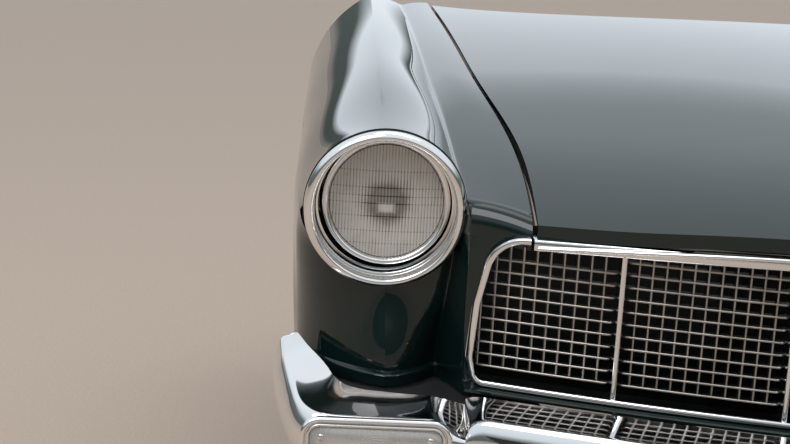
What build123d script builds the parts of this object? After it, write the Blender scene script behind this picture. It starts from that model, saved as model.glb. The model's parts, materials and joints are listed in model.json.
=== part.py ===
"""Front end of a 1950s luxury coupe: hood, front fenders, grille, lamps and bumper.

Millimetres. +X is the car's left, the nose points along -Y, +Z is up.
The origin is the middle of the cowl bolts at the rear of the fenders.
Heights in the tables are above the road and come down by ORIGIN_HEIGHT when drawn.
Pieces of the two sides are drawn on the +X side and mirrored.
"""
import os
from math import cos, radians, sin, tan

from build123d import *

os.makedirs("parts", exist_ok=True)

# Frame of reference, the pressed steel's thickness, and the gap between pieces that touch
ORIGIN_HEIGHT = 565.0
SKIN = 3.0
SEAT_GAP = 0.3
# A length past the nose, for cuts that go right through
PAST = 2100.0

# Fender
FENDER_FLANGE = 28.0
FENDER_LEDGE = 40.0
FENDER_FOOT = 262.0
GUTTER_CROWN = 3.0
SWELL_SLANT = 0.7
AXLE_Y = -1060.0
ARCH_HEIGHT = 345.0
ARCH_RADIUS = 350.0
ARCH_LEG = 300.0
ARCH_LIP_X = 930.0
ARCH_LIP_WIDTH = 60.0
ARCH_LIP_BELOW = 60.0
POCKET_Y = -1505.0
POCKET_TOP = 485.0
REAR_FLANGE_INNER = 700.0
REAR_FLANGE_WIDTH = 64.0
REAR_FLANGE_TOP = 842.0
FLANGE_PLATE = 4.0
COWL_BOLT_HALF_WIDTH = 950.0
COWL_BOLT_HALF_HEIGHT = 210.0
COWL_BOLT_RADIUS = 5.5

# Nose: the pod round the lamp, the chin and the panel beside the grille
LAMP_X = 834.0
LAMP_HEIGHT = 735.0
LENS_X = 832.0
LENS_HEIGHT = 740.0
LENS_Y = -1680.0
LENS_RADIUS = 82.5
LENS_CROWN = 12.0
RING_RADIUS = 94.0
RING_CROWN = 6.0
RING_LIP = 4.0
RING_EDGE = 8.0
REFLECTOR_RADIUS = 46.0
REFLECTOR_DEPTH = 50.0
REFLECTOR_BACK = 62.0
BEZEL_RADIUS = 117.0
BEZEL_Y = -1712.0
BEZEL_TILT = 7.5
BEZEL_SEAT_RADIUS = 108.0
LAMP_ROOM_DEPTH = 36.0
BUCKET_DEPTH = 140.0
NOSE_CUT_BELOW = 235.0
NOSE_CUT_ABOVE = 200.0
NOSE_LIMIT_Y = -1900.0
NOSE_ROOM = 90.0
POD_END_Y = -1510.0
CHIN_REAR_Y = -1500.0
CHIN_FLANK_RISE = 12.0
CHIN_OPENING = 30.0
COLLAR_RADIUS = 116.0
COLLAR_DEPTH = 44.0
VALLEY_X = 730.0
PANEL_REAR = (756.0, -1664.0)
PANEL_CORNER = (712.0, -1740.0)
PANEL_END = (625.0, -1776.5)
PANEL_CUT = (600.0, -1786.0)
PANEL_HEIGHT = 330.0
BUCKET_ROOM_RADIUS = 100.0

# Grille: its plan line, drawn from the middle outwards, and its outline
PLAN = {"middle": (0.0, -1948.0), "prow": (130.0, -1935.0), "inner": (270.0, -1902.0),
        "outer": (500.0, -1830.0), "end": (710.0, -1745.0)}
GRILLE_LEAN = 4.0
GRILLE_BOTTOM = 490.0
GRILLE_TOP = 704.0
GRILLE_HALF_FOOT = 700.0
GRILLE_HALF_WAIST = 709.0
GRILLE_HALF_SHOULDER = 703.0
GRILLE_HALF_TOP = 682.0
GRILLE_WAIST = 530.0
GRILLE_SHOULDER = 614.0
GRILLE_CORNER = 58.0
GRILLE_FOOT_CORNER = 22.0
FRAME_BAR = 10.0
FRAME_DEPTH = 34.0
DIVIDER_SET = 2.0
DIVIDER_WIDTH = 8.0
DIVIDER_DEPTH = 30.0
DIVIDERS_X = (-505.0, -280.0, 0.0, 280.0, 505.0)
HEADER_TOP = 690.0
HEADER_BAR = 11.0
HEADER_SET = 8.0
HEADER_HALF_WIDTH = 628.0
MESH_RECESS = 24.0
MESH_LAYER = 8.0
MESH_BAR = 3.0
MESH_ROW_PITCH = 18.5
MESH_COLUMN_PITCH = 20.5
VALANCE_AHEAD = 26.0
VALANCE_PLATE = 4.0

# Hood
HOOD_GAP = 6.0
HOOD_LIP_DROP = 20.0
HOOD_LIP_AHEAD = 17.0
HOOD_RIM = 60.0
HOOD_FRAME_DEPTH = 18.0
HOOD_FRONT_SIDE = -1786.0
HOOD_FLOOR = 560.0
HOOD_CEILING = 1000.0
HOOD_REACHES = (90.0, 300.0, 850.0)
HOOD_FRONT = (30.0, 10.0)
RIB_FRONT = (60.0, 110.0, -1900.0)
RIB_REAR = (400.0, 470.0, -250.0)
HOOD_REAR_MIDDLE = -400.0
HOOD_REAR_SIDE = -60.0
MOULDING_HEIGHT = 9.0
MOULDING_FRONT = -3.0
MOULDING_DEPTH = 26.0
MOULDING_HALF_WIDTH = 616.0
HINGE_Y = -85.0
HINGE_HEIGHT = 838.0
HINGE_PIN = 8.0
HINGE_THICKNESS = 8.0
HINGE_ARM = 7.0
HINGE_ARM_GAP = 1.0
HINGE_EYE = 22.0
HINGE_BRACKET_HEAD = (26.0, 16.0)
HINGE_BRACKET_FOOT = (50.0, -80.0)
HINGE_TANGENT = (8.0, 20.5)
HINGE_PAD = (-320.0, -215.0)
HINGE_PAD_BOTTOM = 860.0
HINGE_PAD_TOP = 960.0
STRIKER_Y = -1890.0
STRIKER_RADIUS = 6.0
STRIKER_REACH = 12.0
STRIKER_HEAD = 26.0
LATCH_HOLE = 14.0
LATCH_HALF_WIDTH = 34.0
LATCH_PLATE = 4.0
LATCH_FRONT = -1946.0

# Bumper
BUMPER_AHEAD = 100.0
BUMPER_NOTCH_X = 710.0
BUMPER_SKIN = 4.0
BUMPER_SHELF = 64.0
BUMPER_KNEE = 26.0
BUMPER_FACE = 4.0
BUMPER_FACE_CROWN = 10.0
BAR_BOTTOM = 419.0
BAR_TOP = 450.0
BAR_THICKNESS = 8.0
PARKING_LAMP = {"x": 835.0, "middle": 421.0, "width": 184.0, "height": 68.0, "corner": 14.0, "y": -1863.0}
PARKING_WALL = 6.0
PARKING_FRAME = 14.0
PARKING_FRAME_PLATE = 7.0
PARKING_DEPTH = 46.0
PARKING_FLOOR = 6.0
PARKING_SET = 1.0
BUMPER_CUT_DEPTH = 60.0

# Structure under the panels
SUPPORT_Y = -1560.0
SUPPORT_HALF_WIDTH = 590.0
SUPPORT_WING = 110.0
SUPPORT_BOTTOM = 450.0
SUPPORT_TOP = 690.0
SUPPORT_PLATE = 4.0
SUPPORT_RIM = 28.0
RADIATOR_HALF_WIDTH = 330.0
RADIATOR_BOTTOM = 456.0
RADIATOR_TOP = 684.0
RADIATOR_DEPTH = 60.0
RADIATOR_LAP = 20.0
RAIL_X = 400.0
RAIL_WIDTH = 70.0
RAIL_DEPTH = 100.0
RAIL_TOP = 450.0
RAIL_WALL = 5.0
RAIL_FRONT = -1740.0
CROSS_MEMBER = (150.0, 80.0)
CROSS_WALL = 6.0
ARM_WIDTH = 40.0
ARM_BOTTOM = 412.0
ARM_HEIGHT = 38.0
ARM_FRONT = -1990.0
APRON_X = 590.0
APRON_PLATE = 3.0
APRON_CROWN = (-1060.0, 780.0)
APRON_REAR = (840.0, 420.0)

# One fender station a row, from the rear to past the nose
FENDER_STATIONS = [
    # y, gap x, gap z, valley x, valley z, swell x, swell z, crown x, crown z, side x, side z, foot x
    (0.0, 711, 917, 772, 909, 806, 921, 846, 928, 984, 700, 956),
    (-360.0, 695, 898, 760, 889, 799, 910, 846, 923, 982, 692, 952),
    (-720.0, 680, 875, 751, 864, 792, 895, 846, 915, 980, 687, 948),
    (-1060.0, 663, 846, 743, 834, 782, 874, 845, 902, 976, 685, 944),
    (-1380.0, 638, 809, 733, 801, 768, 852, 844, 882, 973, 690, 938),
    (-1640.0, 627, 765, 725, 764, 756, 824, 842, 858, 961, 712, 930),
    (-1790.0, 622, 722, 722, 742, 751, 816, 841, 849, 951, 733, 926),
]

# One chin section a row, from the lower lip up to the middle of the lamp
CHIN_SECTIONS = [
    # z, rear x, side x, y where the corner starts, nose x, nose y, inner x, inner y
    (474.0, 956.5, 950, -1553, 823, -1702, 752, -1650),
    (496.0, 958.3, 956, -1545, 823, -1720, 748, -1656),
    (618.0, 964.6, 961, -1575, 829, -1708, 734, -1682),
    (680.0, 965.6, 962, -1630, 832, -1706, 729, -1692),
    (735.0, 965.6, 961, -1675, 834, -1704, 726, -1700),
]


def up(height):
    """A height above the road, in the part's frame."""
    return height - ORIGIN_HEIGHT


def to_step(piece, name):
    """Label a finished piece and write its file."""
    piece.part.label = name
    export_step(piece.part, f"parts/{name}.step")


def both_sides(piece, name):
    """Write a piece of the left side, and its mirror image for the right."""
    to_step(piece, f"{name}_left")
    with BuildPart() as mirrored:
        mirror(piece.part, about=Plane.YZ)
    to_step(mirrored, f"{name}_right")


def plan_point(name, shift, side=1):
    """A point of the grille's plan line, moved back by shift."""
    x, y = PLAN[name]
    return (side * x, y + shift)


def plan_curve(shift):
    """The grille's plan line from right to left, four arcs, moved back by shift."""
    line = [plan_point(name, shift, -1) for name in ("end", "outer", "inner", "prow")]
    line += [plan_point(name, shift) for name in ("middle", "prow", "inner", "outer", "end")]
    for start, middle, end in zip(line[:-2:2], line[1::2], line[2::2]):
        ThreePointArc(start, middle, end)


def plan_slab(front, back, bottom, top, half_width=PLAN["end"][0]):
    """A leaning slab that follows the grille's plan, from front to back behind it."""
    lean = tan(radians(GRILLE_LEAN))
    slide = -lean * (bottom - GRILLE_BOTTOM)
    with BuildPart() as slab:
        with BuildSketch(Plane.XY.offset(up(bottom))):
            with BuildLine():
                plan_curve(front + slide)
                Line(plan_point("end", front + slide), plan_point("end", back + slide))
                plan_curve(back + slide)
                Line(plan_point("end", back + slide, -1), plan_point("end", front + slide, -1))
            make_face()
        extrude(amount=(top - bottom), dir=(0, -lean, 1))
        if half_width < PLAN["end"][0]:
            with BuildSketch(Plane.XZ):
                Rectangle(2 * half_width, HOOD_CEILING)
            extrude(amount=PAST, mode=Mode.INTERSECT)
    return slab.part


def grille_outline(inset):
    """The grille's front outline in the XZ plane, moved in by inset."""
    foot = GRILLE_HALF_FOOT - inset
    waist = GRILLE_HALF_WAIST - inset
    head = GRILLE_HALF_TOP - inset
    bottom = up(GRILLE_BOTTOM) + inset
    top = up(GRILLE_TOP) - inset
    shoulder = GRILLE_HALF_SHOULDER - inset
    with BuildLine() as outline:
        Polyline((-foot, bottom), (foot, bottom), (waist, up(GRILLE_WAIST)), (shoulder, up(GRILLE_SHOULDER)),
                 (head, top), (-head, top), (-shoulder, up(GRILLE_SHOULDER)), (-waist, up(GRILLE_WAIST)),
                 (-foot, bottom))
    make_face(outline.edges())


def front_extrusion(inset, length=600.0):
    """The grille's outline carried along Y, for cutting and for keeping."""
    with BuildPart() as block:
        with BuildSketch(Plane.XZ.offset(PAST)) as face:
            grille_outline(inset)
            lower = face.vertices().sort_by(Axis.Y)[:2]
            fillet(lower, radius=GRILLE_FOOT_CORNER)
            upper = face.vertices().sort_by(Axis.Y)[-4:]
            fillet(upper, radius=GRILLE_CORNER)
        extrude(amount=-length)
    return block.part


def fender_outline(row, wall):
    """One filled fender section on the XZ plane: wall 0 is the outside, more is the hollow."""
    y, gap_x, gap_z, valley_x, valley_z, swell_x, swell_z, crown_x, crown_z, side_x, side_z, foot_x = row
    gap = (gap_x + wall, up(gap_z) - wall)
    valley = (valley_x + wall, up(valley_z) - wall)
    crown = (crown_x, up(crown_z) - wall)
    side = (side_x - wall, up(side_z))
    foot = (foot_x - wall, up(FENDER_FOOT) - wall)
    dip = ((gap[0] + valley[0]) / 2, (gap[1] + valley[1]) / 2 + GUTTER_CROWN)
    swell = (swell_x + wall * SWELL_SLANT, up(swell_z) - wall * SWELL_SLANT)
    with BuildLine() as outline:
        ThreePointArc(gap, dip, valley)
        ThreePointArc(valley, swell, crown)
        TangentArc(side, crown, tangent=(0, 1))
        TangentArc(side, foot, tangent=(0, -1))
        if wall:
            step = up(gap_z) - FENDER_FLANGE
            ledge = gap_x - FENDER_LEDGE
            Polyline(foot, (ledge, foot[1]), (ledge, step), (gap[0], step), gap)
        else:
            Polyline(foot, (gap_x, foot[1]), gap)
    make_face(outline.edges())


def fender_body(wall):
    """The fender's filled form, lofted through its stations."""
    with BuildPart() as body:
        for row in FENDER_STATIONS:
            with BuildSketch(Plane.XZ.offset(-row[0])):
                fender_outline(row, wall)
        loft()
    return body.part


def chin_body(wall):
    """The chin under the lamp, lofted upwards: wall 0 is the outside, more is the hollow."""
    with BuildPart() as body:
        for z, rear_x, side_x, corner_y, nose_x, nose_y, inner_x, inner_y in CHIN_SECTIONS:
            side = (rear_x - wall, CHIN_REAR_Y)
            corner = (side_x - wall, corner_y)
            nose = (nose_x, nose_y + wall)
            inner = (inner_x, inner_y + wall)
            flank = ((nose[0] + inner[0]) / 2, (nose[1] + inner[1]) / 2 - CHIN_FLANK_RISE)
            # The hollow's inner side lies past the form's, so the shell is open there
            open_x = inner_x - CHIN_OPENING * bool(wall)
            with BuildSketch(Plane.XY.offset(up(z))):
                with BuildLine():
                    Line(side, corner)
                    TangentArc(corner, nose, tangent=(side_x - rear_x, corner_y - CHIN_REAR_Y))
                    ThreePointArc(nose, flank, inner)
                    Polyline(inner, (open_x, CHIN_REAR_Y), side)
                make_face()
        loft()
    return body.part


BEZEL_PLANE = Plane(origin=(LAMP_X, BEZEL_Y, up(LAMP_HEIGHT)), x_dir=(1, 0, 0),
                    z_dir=(0, -cos(radians(BEZEL_TILT)), -sin(radians(BEZEL_TILT))))

fender_form = fender_body(0.0)

# Left fender: a pressed skin with its nose, chin, grille panel and rear flange
with BuildPart() as fender:
    add(fender_form)
    add(fender_body(SKIN), mode=Mode.SUBTRACT)
    # The nose ends on the bezel's plane
    lean = tan(radians(BEZEL_TILT))
    cut_low = (BEZEL_Y + NOSE_CUT_BELOW * lean, up(LAMP_HEIGHT) - NOSE_CUT_BELOW)
    cut_high = (BEZEL_Y - NOSE_CUT_ABOVE * lean, up(LAMP_HEIGHT) + NOSE_CUT_ABOVE)
    with BuildSketch(Plane.YZ.offset(VALLEY_X)):
        with BuildLine():
            Polyline(cut_low, cut_high, (NOSE_LIMIT_Y, cut_high[1]), (NOSE_LIMIT_Y, cut_low[1]), cut_low)
        make_face()
    extrude(amount=LAMP_X, mode=Mode.SUBTRACT)
    # The catwalk ends on the panel beside the grille
    with BuildSketch(Plane.XY.offset(up(0))):
        with BuildLine():
            Polyline(PANEL_REAR, PANEL_CORNER, PANEL_CUT, (PANEL_CUT[0], NOSE_LIMIT_Y),
                     (PANEL_REAR[0], NOSE_LIMIT_Y), PANEL_REAR)
        make_face()
    extrude(amount=HOOD_CEILING, mode=Mode.SUBTRACT)
    # Below the lamp's middle the chin takes over
    floor = up(0)
    with BuildSketch(Plane.YZ):
        with BuildLine():
            Polyline((NOSE_LIMIT_Y, floor), (POCKET_Y, floor), (POCKET_Y, up(POCKET_TOP)),
                     (POD_END_Y, up(POCKET_TOP)), (POD_END_Y, up(LAMP_HEIGHT)),
                     (NOSE_LIMIT_Y, up(LAMP_HEIGHT)), (NOSE_LIMIT_Y, floor))
        make_face()
    extrude(amount=PAST, mode=Mode.SUBTRACT)
    # Wheel opening
    with BuildSketch(Plane.YZ.offset(LAMP_X)):
        with Locations((AXLE_Y, up(ARCH_HEIGHT))):
            Circle(ARCH_RADIUS)
        with Locations((AXLE_Y, up(ARCH_HEIGHT) - ARCH_LEG / 2)):
            Rectangle(2 * ARCH_RADIUS, ARCH_LEG)
    extrude(amount=LAMP_X, mode=Mode.SUBTRACT)
    # Rolled lip round the wheel opening
    with BuildPart(mode=Mode.PRIVATE) as arch_lip:
        with BuildSketch(Plane.YZ.offset(ARCH_LIP_X)):
            with Locations((AXLE_Y, up(ARCH_HEIGHT))):
                Circle(ARCH_RADIUS + SKIN)
                Circle(ARCH_RADIUS, mode=Mode.SUBTRACT)
            with Locations((AXLE_Y, up(ARCH_HEIGHT) - ARCH_LIP_BELOW - ARCH_RADIUS)):
                Rectangle(3 * ARCH_RADIUS, 2 * ARCH_RADIUS, mode=Mode.SUBTRACT)
        extrude(amount=ARCH_LIP_WIDTH)
        add(fender_form, mode=Mode.INTERSECT)
    add(arch_lip.part)
    # Chin and the panel beside the grille, cut to what seats in them
    with BuildPart(mode=Mode.PRIVATE) as panel:
        # Its back follows its front at the skin's thickness
        with BuildSketch(Plane.XY.offset(up(GRILLE_BOTTOM))):
            with BuildLine():
                Polyline(PANEL_REAR, PANEL_CORNER, PANEL_END, (PANEL_END[0], PANEL_END[1] + SKIN),
                         (PANEL_CORNER[0] - 0.7 * SKIN, PANEL_CORNER[1] + 0.8 * SKIN),
                         (PANEL_REAR[0] - 0.87 * SKIN, PANEL_REAR[1] + 0.5 * SKIN), PANEL_REAR)
            make_face()
        extrude(amount=PANEL_HEIGHT)
        add(fender_form, mode=Mode.INTERSECT)
        add(front_extrusion(-SEAT_GAP), mode=Mode.SUBTRACT)
    with BuildPart(mode=Mode.PRIVATE) as lamp_room:
        with BuildSketch(BEZEL_PLANE):
            Circle(BEZEL_RADIUS + SEAT_GAP)
        extrude(amount=NOSE_ROOM)
        with BuildSketch(BEZEL_PLANE):
            Circle(BEZEL_SEAT_RADIUS)
        extrude(amount=-LAMP_ROOM_DEPTH)
        with BuildSketch(BEZEL_PLANE):
            Circle(BUCKET_ROOM_RADIUS)
        extrude(amount=-BUCKET_DEPTH)
    with BuildPart(mode=Mode.PRIVATE) as chin:
        add(chin_body(0.0))
        add(chin_body(SKIN), mode=Mode.SUBTRACT)
        add(lamp_room.part, mode=Mode.SUBTRACT)
    # Collar behind the bezel's rim, which carries the bucket
    with BuildPart(mode=Mode.PRIVATE) as collar:
        with BuildSketch(BEZEL_PLANE):
            Circle(COLLAR_RADIUS)
            Circle(BEZEL_SEAT_RADIUS, mode=Mode.SUBTRACT)
        extrude(amount=-COLLAR_DEPTH)
    add(lamp_room.part, mode=Mode.SUBTRACT)
    add(chin.part)
    add(collar.part)
    add(panel.part - lamp_room.part)
    # Rear flange with the cowl bolt holes
    with BuildPart(mode=Mode.PRIVATE) as flange:
        add(fender_form)
        split(bisect_by=Plane.XZ.offset(FLANGE_PLATE), keep=Keep.BOTTOM)
        window_outer = FENDER_STATIONS[0][9] - REAR_FLANGE_WIDTH
        with BuildSketch(Plane.XZ):
            with Locations(((REAR_FLANGE_INNER + window_outer) / 2, up(REAR_FLANGE_TOP / 2))):
                Rectangle(window_outer - REAR_FLANGE_INNER, REAR_FLANGE_TOP)
            with Locations((COWL_BOLT_HALF_WIDTH, COWL_BOLT_HALF_HEIGHT),
                           (COWL_BOLT_HALF_WIDTH, -COWL_BOLT_HALF_HEIGHT)):
                Circle(COWL_BOLT_RADIUS)
        extrude(amount=2 * FLANGE_PLATE, both=True, mode=Mode.SUBTRACT)
    add(flange.part)
both_sides(fender, "fender")

# Headlamp of the left side: bucket, sealed lamp, retaining ring and bezel
LAMP_PLANE = Plane(origin=(LENS_X, LENS_Y, up(LENS_HEIGHT)), x_dir=(1, 0, 0), z_dir=(0, -1, 0))


def turned(plane):
    """A plane whose sketch of radius and reach turns about the other plane's axis."""
    return Plane(origin=plane.origin, x_dir=plane.x_dir, z_dir=-plane.y_dir)


# The bucket's pressed wall: radius and reach of its inside, then of its outside on the way back
BUCKET_INSIDE = [(0, -BUCKET_DEPTH), (54, -BUCKET_DEPTH), (84, -76), (86, -60), (95.5, -58), (97, -19)]
BUCKET_RIM = [(BEZEL_SEAT_RADIUS - SEAT_GAP, -19), (BEZEL_SEAT_RADIUS - SEAT_GAP, -22)]
BUCKET_OUTSIDE = [(99.2, -22), (97.7, -60), (88.2, -62.2), (86.2, -76.5), (56, -BUCKET_DEPTH - 2),
                  (0, -BUCKET_DEPTH - 2)]

with BuildPart() as bucket:
    with BuildSketch(turned(BEZEL_PLANE)):
        with BuildLine():
            Polyline(*BUCKET_INSIDE, *BUCKET_RIM, *BUCKET_OUTSIDE, BUCKET_INSIDE[0])
        make_face()
    revolve(axis=Axis(BEZEL_PLANE.origin, BEZEL_PLANE.z_dir))
both_sides(bucket, "headlamp_bucket")

with BuildPart() as lens:
    with BuildSketch(turned(LAMP_PLANE)):
        with BuildLine():
            ThreePointArc((0, LENS_CROWN), (LENS_RADIUS / 2, LENS_CROWN * 0.76), (LENS_RADIUS, 0))
            Polyline((LENS_RADIUS, 0), (LENS_RADIUS, -RING_EDGE), (REFLECTOR_RADIUS, -REFLECTOR_DEPTH),
                     (0, -REFLECTOR_BACK), (0, LENS_CROWN))
        make_face()
    revolve(axis=Axis(LAMP_PLANE.origin, LAMP_PLANE.z_dir))
both_sides(lens, "headlamp_lens")

with BuildPart() as ring:
    with BuildSketch(turned(LAMP_PLANE)):
        with BuildLine():
            inner = LENS_RADIUS + SEAT_GAP
            Line((inner, -RING_LIP), (inner, 1))
            ThreePointArc((inner, 1), ((inner + RING_RADIUS) / 2, RING_CROWN), (RING_RADIUS, 0))
            Polyline((RING_RADIUS, 0), (RING_RADIUS, -RING_EDGE), (inner, -RING_LIP))
        make_face()
    revolve(axis=Axis(LAMP_PLANE.origin, LAMP_PLANE.z_dir))
both_sides(ring, "headlamp_ring")

# The bezel's profile, radius and reach: from its rim over its crest and down its throat
BEZEL_RIM = (BEZEL_RADIUS, SEAT_GAP)
BEZEL_BEND = (BEZEL_RADIUS - 3, 12)
BEZEL_CREST = (BEZEL_RADIUS - 9, 17)
BEZEL_SLOPE = (103, 8)
BEZEL_THROAT = [(99.5, -18), (101.5, -18), (104.5, SEAT_GAP)]

with BuildPart() as bezel:
    with BuildSketch(turned(BEZEL_PLANE)):
        with BuildLine():
            ThreePointArc(BEZEL_RIM, BEZEL_BEND, BEZEL_CREST)
            ThreePointArc(BEZEL_CREST, BEZEL_SLOPE, BEZEL_THROAT[0])
            Polyline(*BEZEL_THROAT, BEZEL_RIM)
        make_face()
    revolve(axis=Axis(BEZEL_PLANE.origin, BEZEL_PLANE.z_dir))
both_sides(bezel, "headlamp_bezel")

# Hood stations along X: each row is one lengthwise curve of its surface
HOOD_STATIONS = [
    # x, lip y, lip z, z at 90, 300, 850 behind the lip, z at the cowl
    (-716, -1758, 722, 747, 793, 856, 916),
    (-360, -1893, 749, 776, 819, 881, 936),
    (0, -1965, 757, 784, 828, 890, 944),
    (360, -1893, 749, 776, 819, 881, 936),
    (716, -1758, 722, 747, 793, 856, 916),
]


def under_hood(drop):
    """Everything below the hood's surface lowered by drop."""
    near, far, middle = HOOD_REACHES
    with BuildPart() as block:
        for x, lip_y, lip_z, near_z, shoulder_z, middle_z, cowl_z in HOOD_STATIONS:
            front = (lip_y - HOOD_FRONT[0], up(lip_z) - HOOD_FRONT[1] - drop)
            shoulder = (lip_y + far, up(shoulder_z) - drop)
            rear = (0, up(cowl_z) - drop)
            with BuildSketch(Plane.YZ.offset(x)):
                with BuildLine():
                    ThreePointArc(front, (lip_y + near, up(near_z) - drop), shoulder)
                    ThreePointArc(shoulder, (lip_y + middle, up(middle_z) - drop), rear)
                    Polyline(rear, (rear[0], up(HOOD_FLOOR)), (front[0], up(HOOD_FLOOR)), front)
                make_face()
        loft()
    return block.part


def hood_plan(inset):
    """The hood's plan outline, moved in by inset from the fenders' edges."""
    sides = [(row[1] - inset, row[0]) for row in FENDER_STATIONS]
    with BuildPart() as block:
        with BuildSketch(Plane.XY.offset(up(HOOD_FLOOR))):
            with BuildLine():
                for side in (1, -1):
                    nose, bend, waist, middle, flank = [(side * x, y) for x, y in sides[-2:0:-1]]
                    front = (side * (sides[-1][0] - 1), HOOD_FRONT_SIDE + inset)
                    Line(front, nose)
                    ThreePointArc(nose, bend, waist)
                    rear_edge = (side * (sides[0][0] - 3), HOOD_REAR_SIDE - inset)
                    Polyline(waist, middle, flank, rear_edge)
                    if side == 1:
                        left_front, left_rear = front, rear_edge
                ThreePointArc(left_rear, (0, HOOD_REAR_MIDDLE - inset), rear_edge)
                prow = [(side * x, y - HOOD_LIP_AHEAD + inset) for side, (x, y) in
                        ((-1, PLAN["outer"]), (-1, PLAN["inner"]), (-1, PLAN["prow"]), (1, PLAN["middle"]),
                         (1, PLAN["prow"]), (1, PLAN["inner"]), (1, PLAN["outer"]))]
                ThreePointArc(front, prow[0], prow[1])
                ThreePointArc(prow[1], prow[2], prow[3])
                ThreePointArc(prow[3], prow[4], prow[5])
                ThreePointArc(prow[5], prow[6], left_front)
            make_face()
        extrude(amount=HOOD_CEILING - HOOD_FLOOR)
    return block.part


hood_surface = under_hood(0.0)
hood_underside = under_hood(SKIN)
hood_lip_foot = under_hood(HOOD_LIP_DROP)
hood_edge = hood_plan(HOOD_GAP)

with BuildPart() as hood_skin:
    add(hood_surface)
    add(hood_edge, mode=Mode.INTERSECT)
    with BuildPart(mode=Mode.PRIVATE) as hollow:
        add(hood_underside)
        add(hood_plan(HOOD_GAP + SKIN), mode=Mode.INTERSECT)
    add(hollow.part, mode=Mode.SUBTRACT)
    add(hood_lip_foot, mode=Mode.SUBTRACT)
to_step(hood_skin, "hood_skin")

# Hood moulding: the bright bar under the lip, which is the grille's top edge when the hood is shut
with BuildPart() as moulding:
    add(under_hood(HOOD_LIP_DROP + SEAT_GAP))
    add(plan_slab(MOULDING_FRONT, MOULDING_FRONT + MOULDING_DEPTH, SUPPORT_TOP, HOOD_CEILING),
        mode=Mode.INTERSECT)
    with BuildSketch(Plane.XZ):
        Rectangle(2 * MOULDING_HALF_WIDTH, HOOD_CEILING)
    extrude(amount=PAST, mode=Mode.INTERSECT)
    add(under_hood(HOOD_LIP_DROP + MOULDING_HEIGHT), mode=Mode.SUBTRACT)
to_step(moulding, "hood_moulding")

# Hood frame: a pressed rim and two ribs under the skin
with BuildPart() as hood_frame:
    add(under_hood(SKIN + SEAT_GAP))
    add(hood_plan(HOOD_GAP + SKIN + SEAT_GAP), mode=Mode.INTERSECT)
    add(hood_plan(HOOD_GAP + HOOD_RIM), mode=Mode.SUBTRACT)
    with BuildPart(mode=Mode.PRIVATE) as ribs:
        with BuildSketch(Plane.XY.offset(up(HOOD_FLOOR))):
            for side in (-1, 1):
                rib = [(RIB_FRONT[0], RIB_FRONT[2]), (RIB_FRONT[1], RIB_FRONT[2]),
                       (RIB_REAR[1], RIB_REAR[2]), (RIB_REAR[0], RIB_REAR[2]), (RIB_FRONT[0], RIB_FRONT[2])]
                with BuildLine():
                    Polyline(*[(side * x, y) for x, y in rib])
                make_face()
        extrude(amount=HOOD_CEILING - HOOD_FLOOR)
        add(under_hood(SKIN + SEAT_GAP), mode=Mode.INTERSECT)
        add(hood_plan(HOOD_GAP + HOOD_RIM - SKIN), mode=Mode.INTERSECT)
    add(ribs.part)
    add(under_hood(SKIN + HOOD_FRAME_DEPTH), mode=Mode.SUBTRACT)
    add(plan_slab(-HOOD_RIM, MOULDING_FRONT + MOULDING_DEPTH + SEAT_GAP, SUPPORT_TOP, HOOD_CEILING),
        mode=Mode.SUBTRACT)
to_step(hood_frame, "hood_frame")

# Grille frame: the bright surround, its rail under the hood, and the upright dividers
with BuildPart() as grille_frame:
    add(plan_slab(0.0, FRAME_DEPTH, GRILLE_BOTTOM - FRAME_BAR, GRILLE_TOP + FRAME_BAR))
    with BuildPart(mode=Mode.PRIVATE) as border:
        add(front_extrusion(0.0))
        add(front_extrusion(FRAME_BAR), mode=Mode.SUBTRACT)
    add(border.part, mode=Mode.INTERSECT)
    with BuildSketch(Plane.XY.offset(up(HEADER_TOP))):
        Rectangle(2 * HEADER_HALF_WIDTH, 2 * PAST)
    extrude(amount=PANEL_HEIGHT, mode=Mode.SUBTRACT)
    add(plan_slab(HEADER_SET, FRAME_DEPTH, HEADER_TOP - HEADER_BAR, HEADER_TOP,
                  HEADER_HALF_WIDTH + HEADER_SET))
to_step(grille_frame, "grille_frame")

# Between the frame's foot and its rail stand the dividers, and the mesh between them
mesh_bottom = GRILLE_BOTTOM + FRAME_BAR
mesh_top = HEADER_TOP - HEADER_BAR

with BuildPart() as dividers:
    add(plan_slab(DIVIDER_SET, DIVIDER_SET + DIVIDER_DEPTH, mesh_bottom, mesh_top))
    with BuildSketch(Plane.XZ):
        for x in DIVIDERS_X:
            with Locations((x, 0)):
                Rectangle(DIVIDER_WIDTH, HOOD_CEILING)
    extrude(amount=PAST, mode=Mode.INTERSECT)
to_step(dividers, "grille_dividers")


def mesh_slab(front, back, bottom, top):
    """A leaning slab of flat panes between the dividers."""
    lean = tan(radians(GRILLE_LEAN))
    slide = -lean * (bottom - GRILLE_BOTTOM)
    names = ("end", "outer", "inner", "prow", "middle")
    right = [plan_point(name, front + slide, -1) for name in names]
    left = [plan_point(name, front + slide) for name in reversed(names[:-1])]
    line = right + left
    behind = [(x, y + back - front) for x, y in reversed(line)]
    with BuildPart() as slab:
        with BuildSketch(Plane.XY.offset(up(bottom))):
            with BuildLine():
                Polyline(*line, *behind, line[0])
            make_face()
        extrude(amount=(top - bottom), dir=(0, -lean, 1))
    return slab.part


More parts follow.
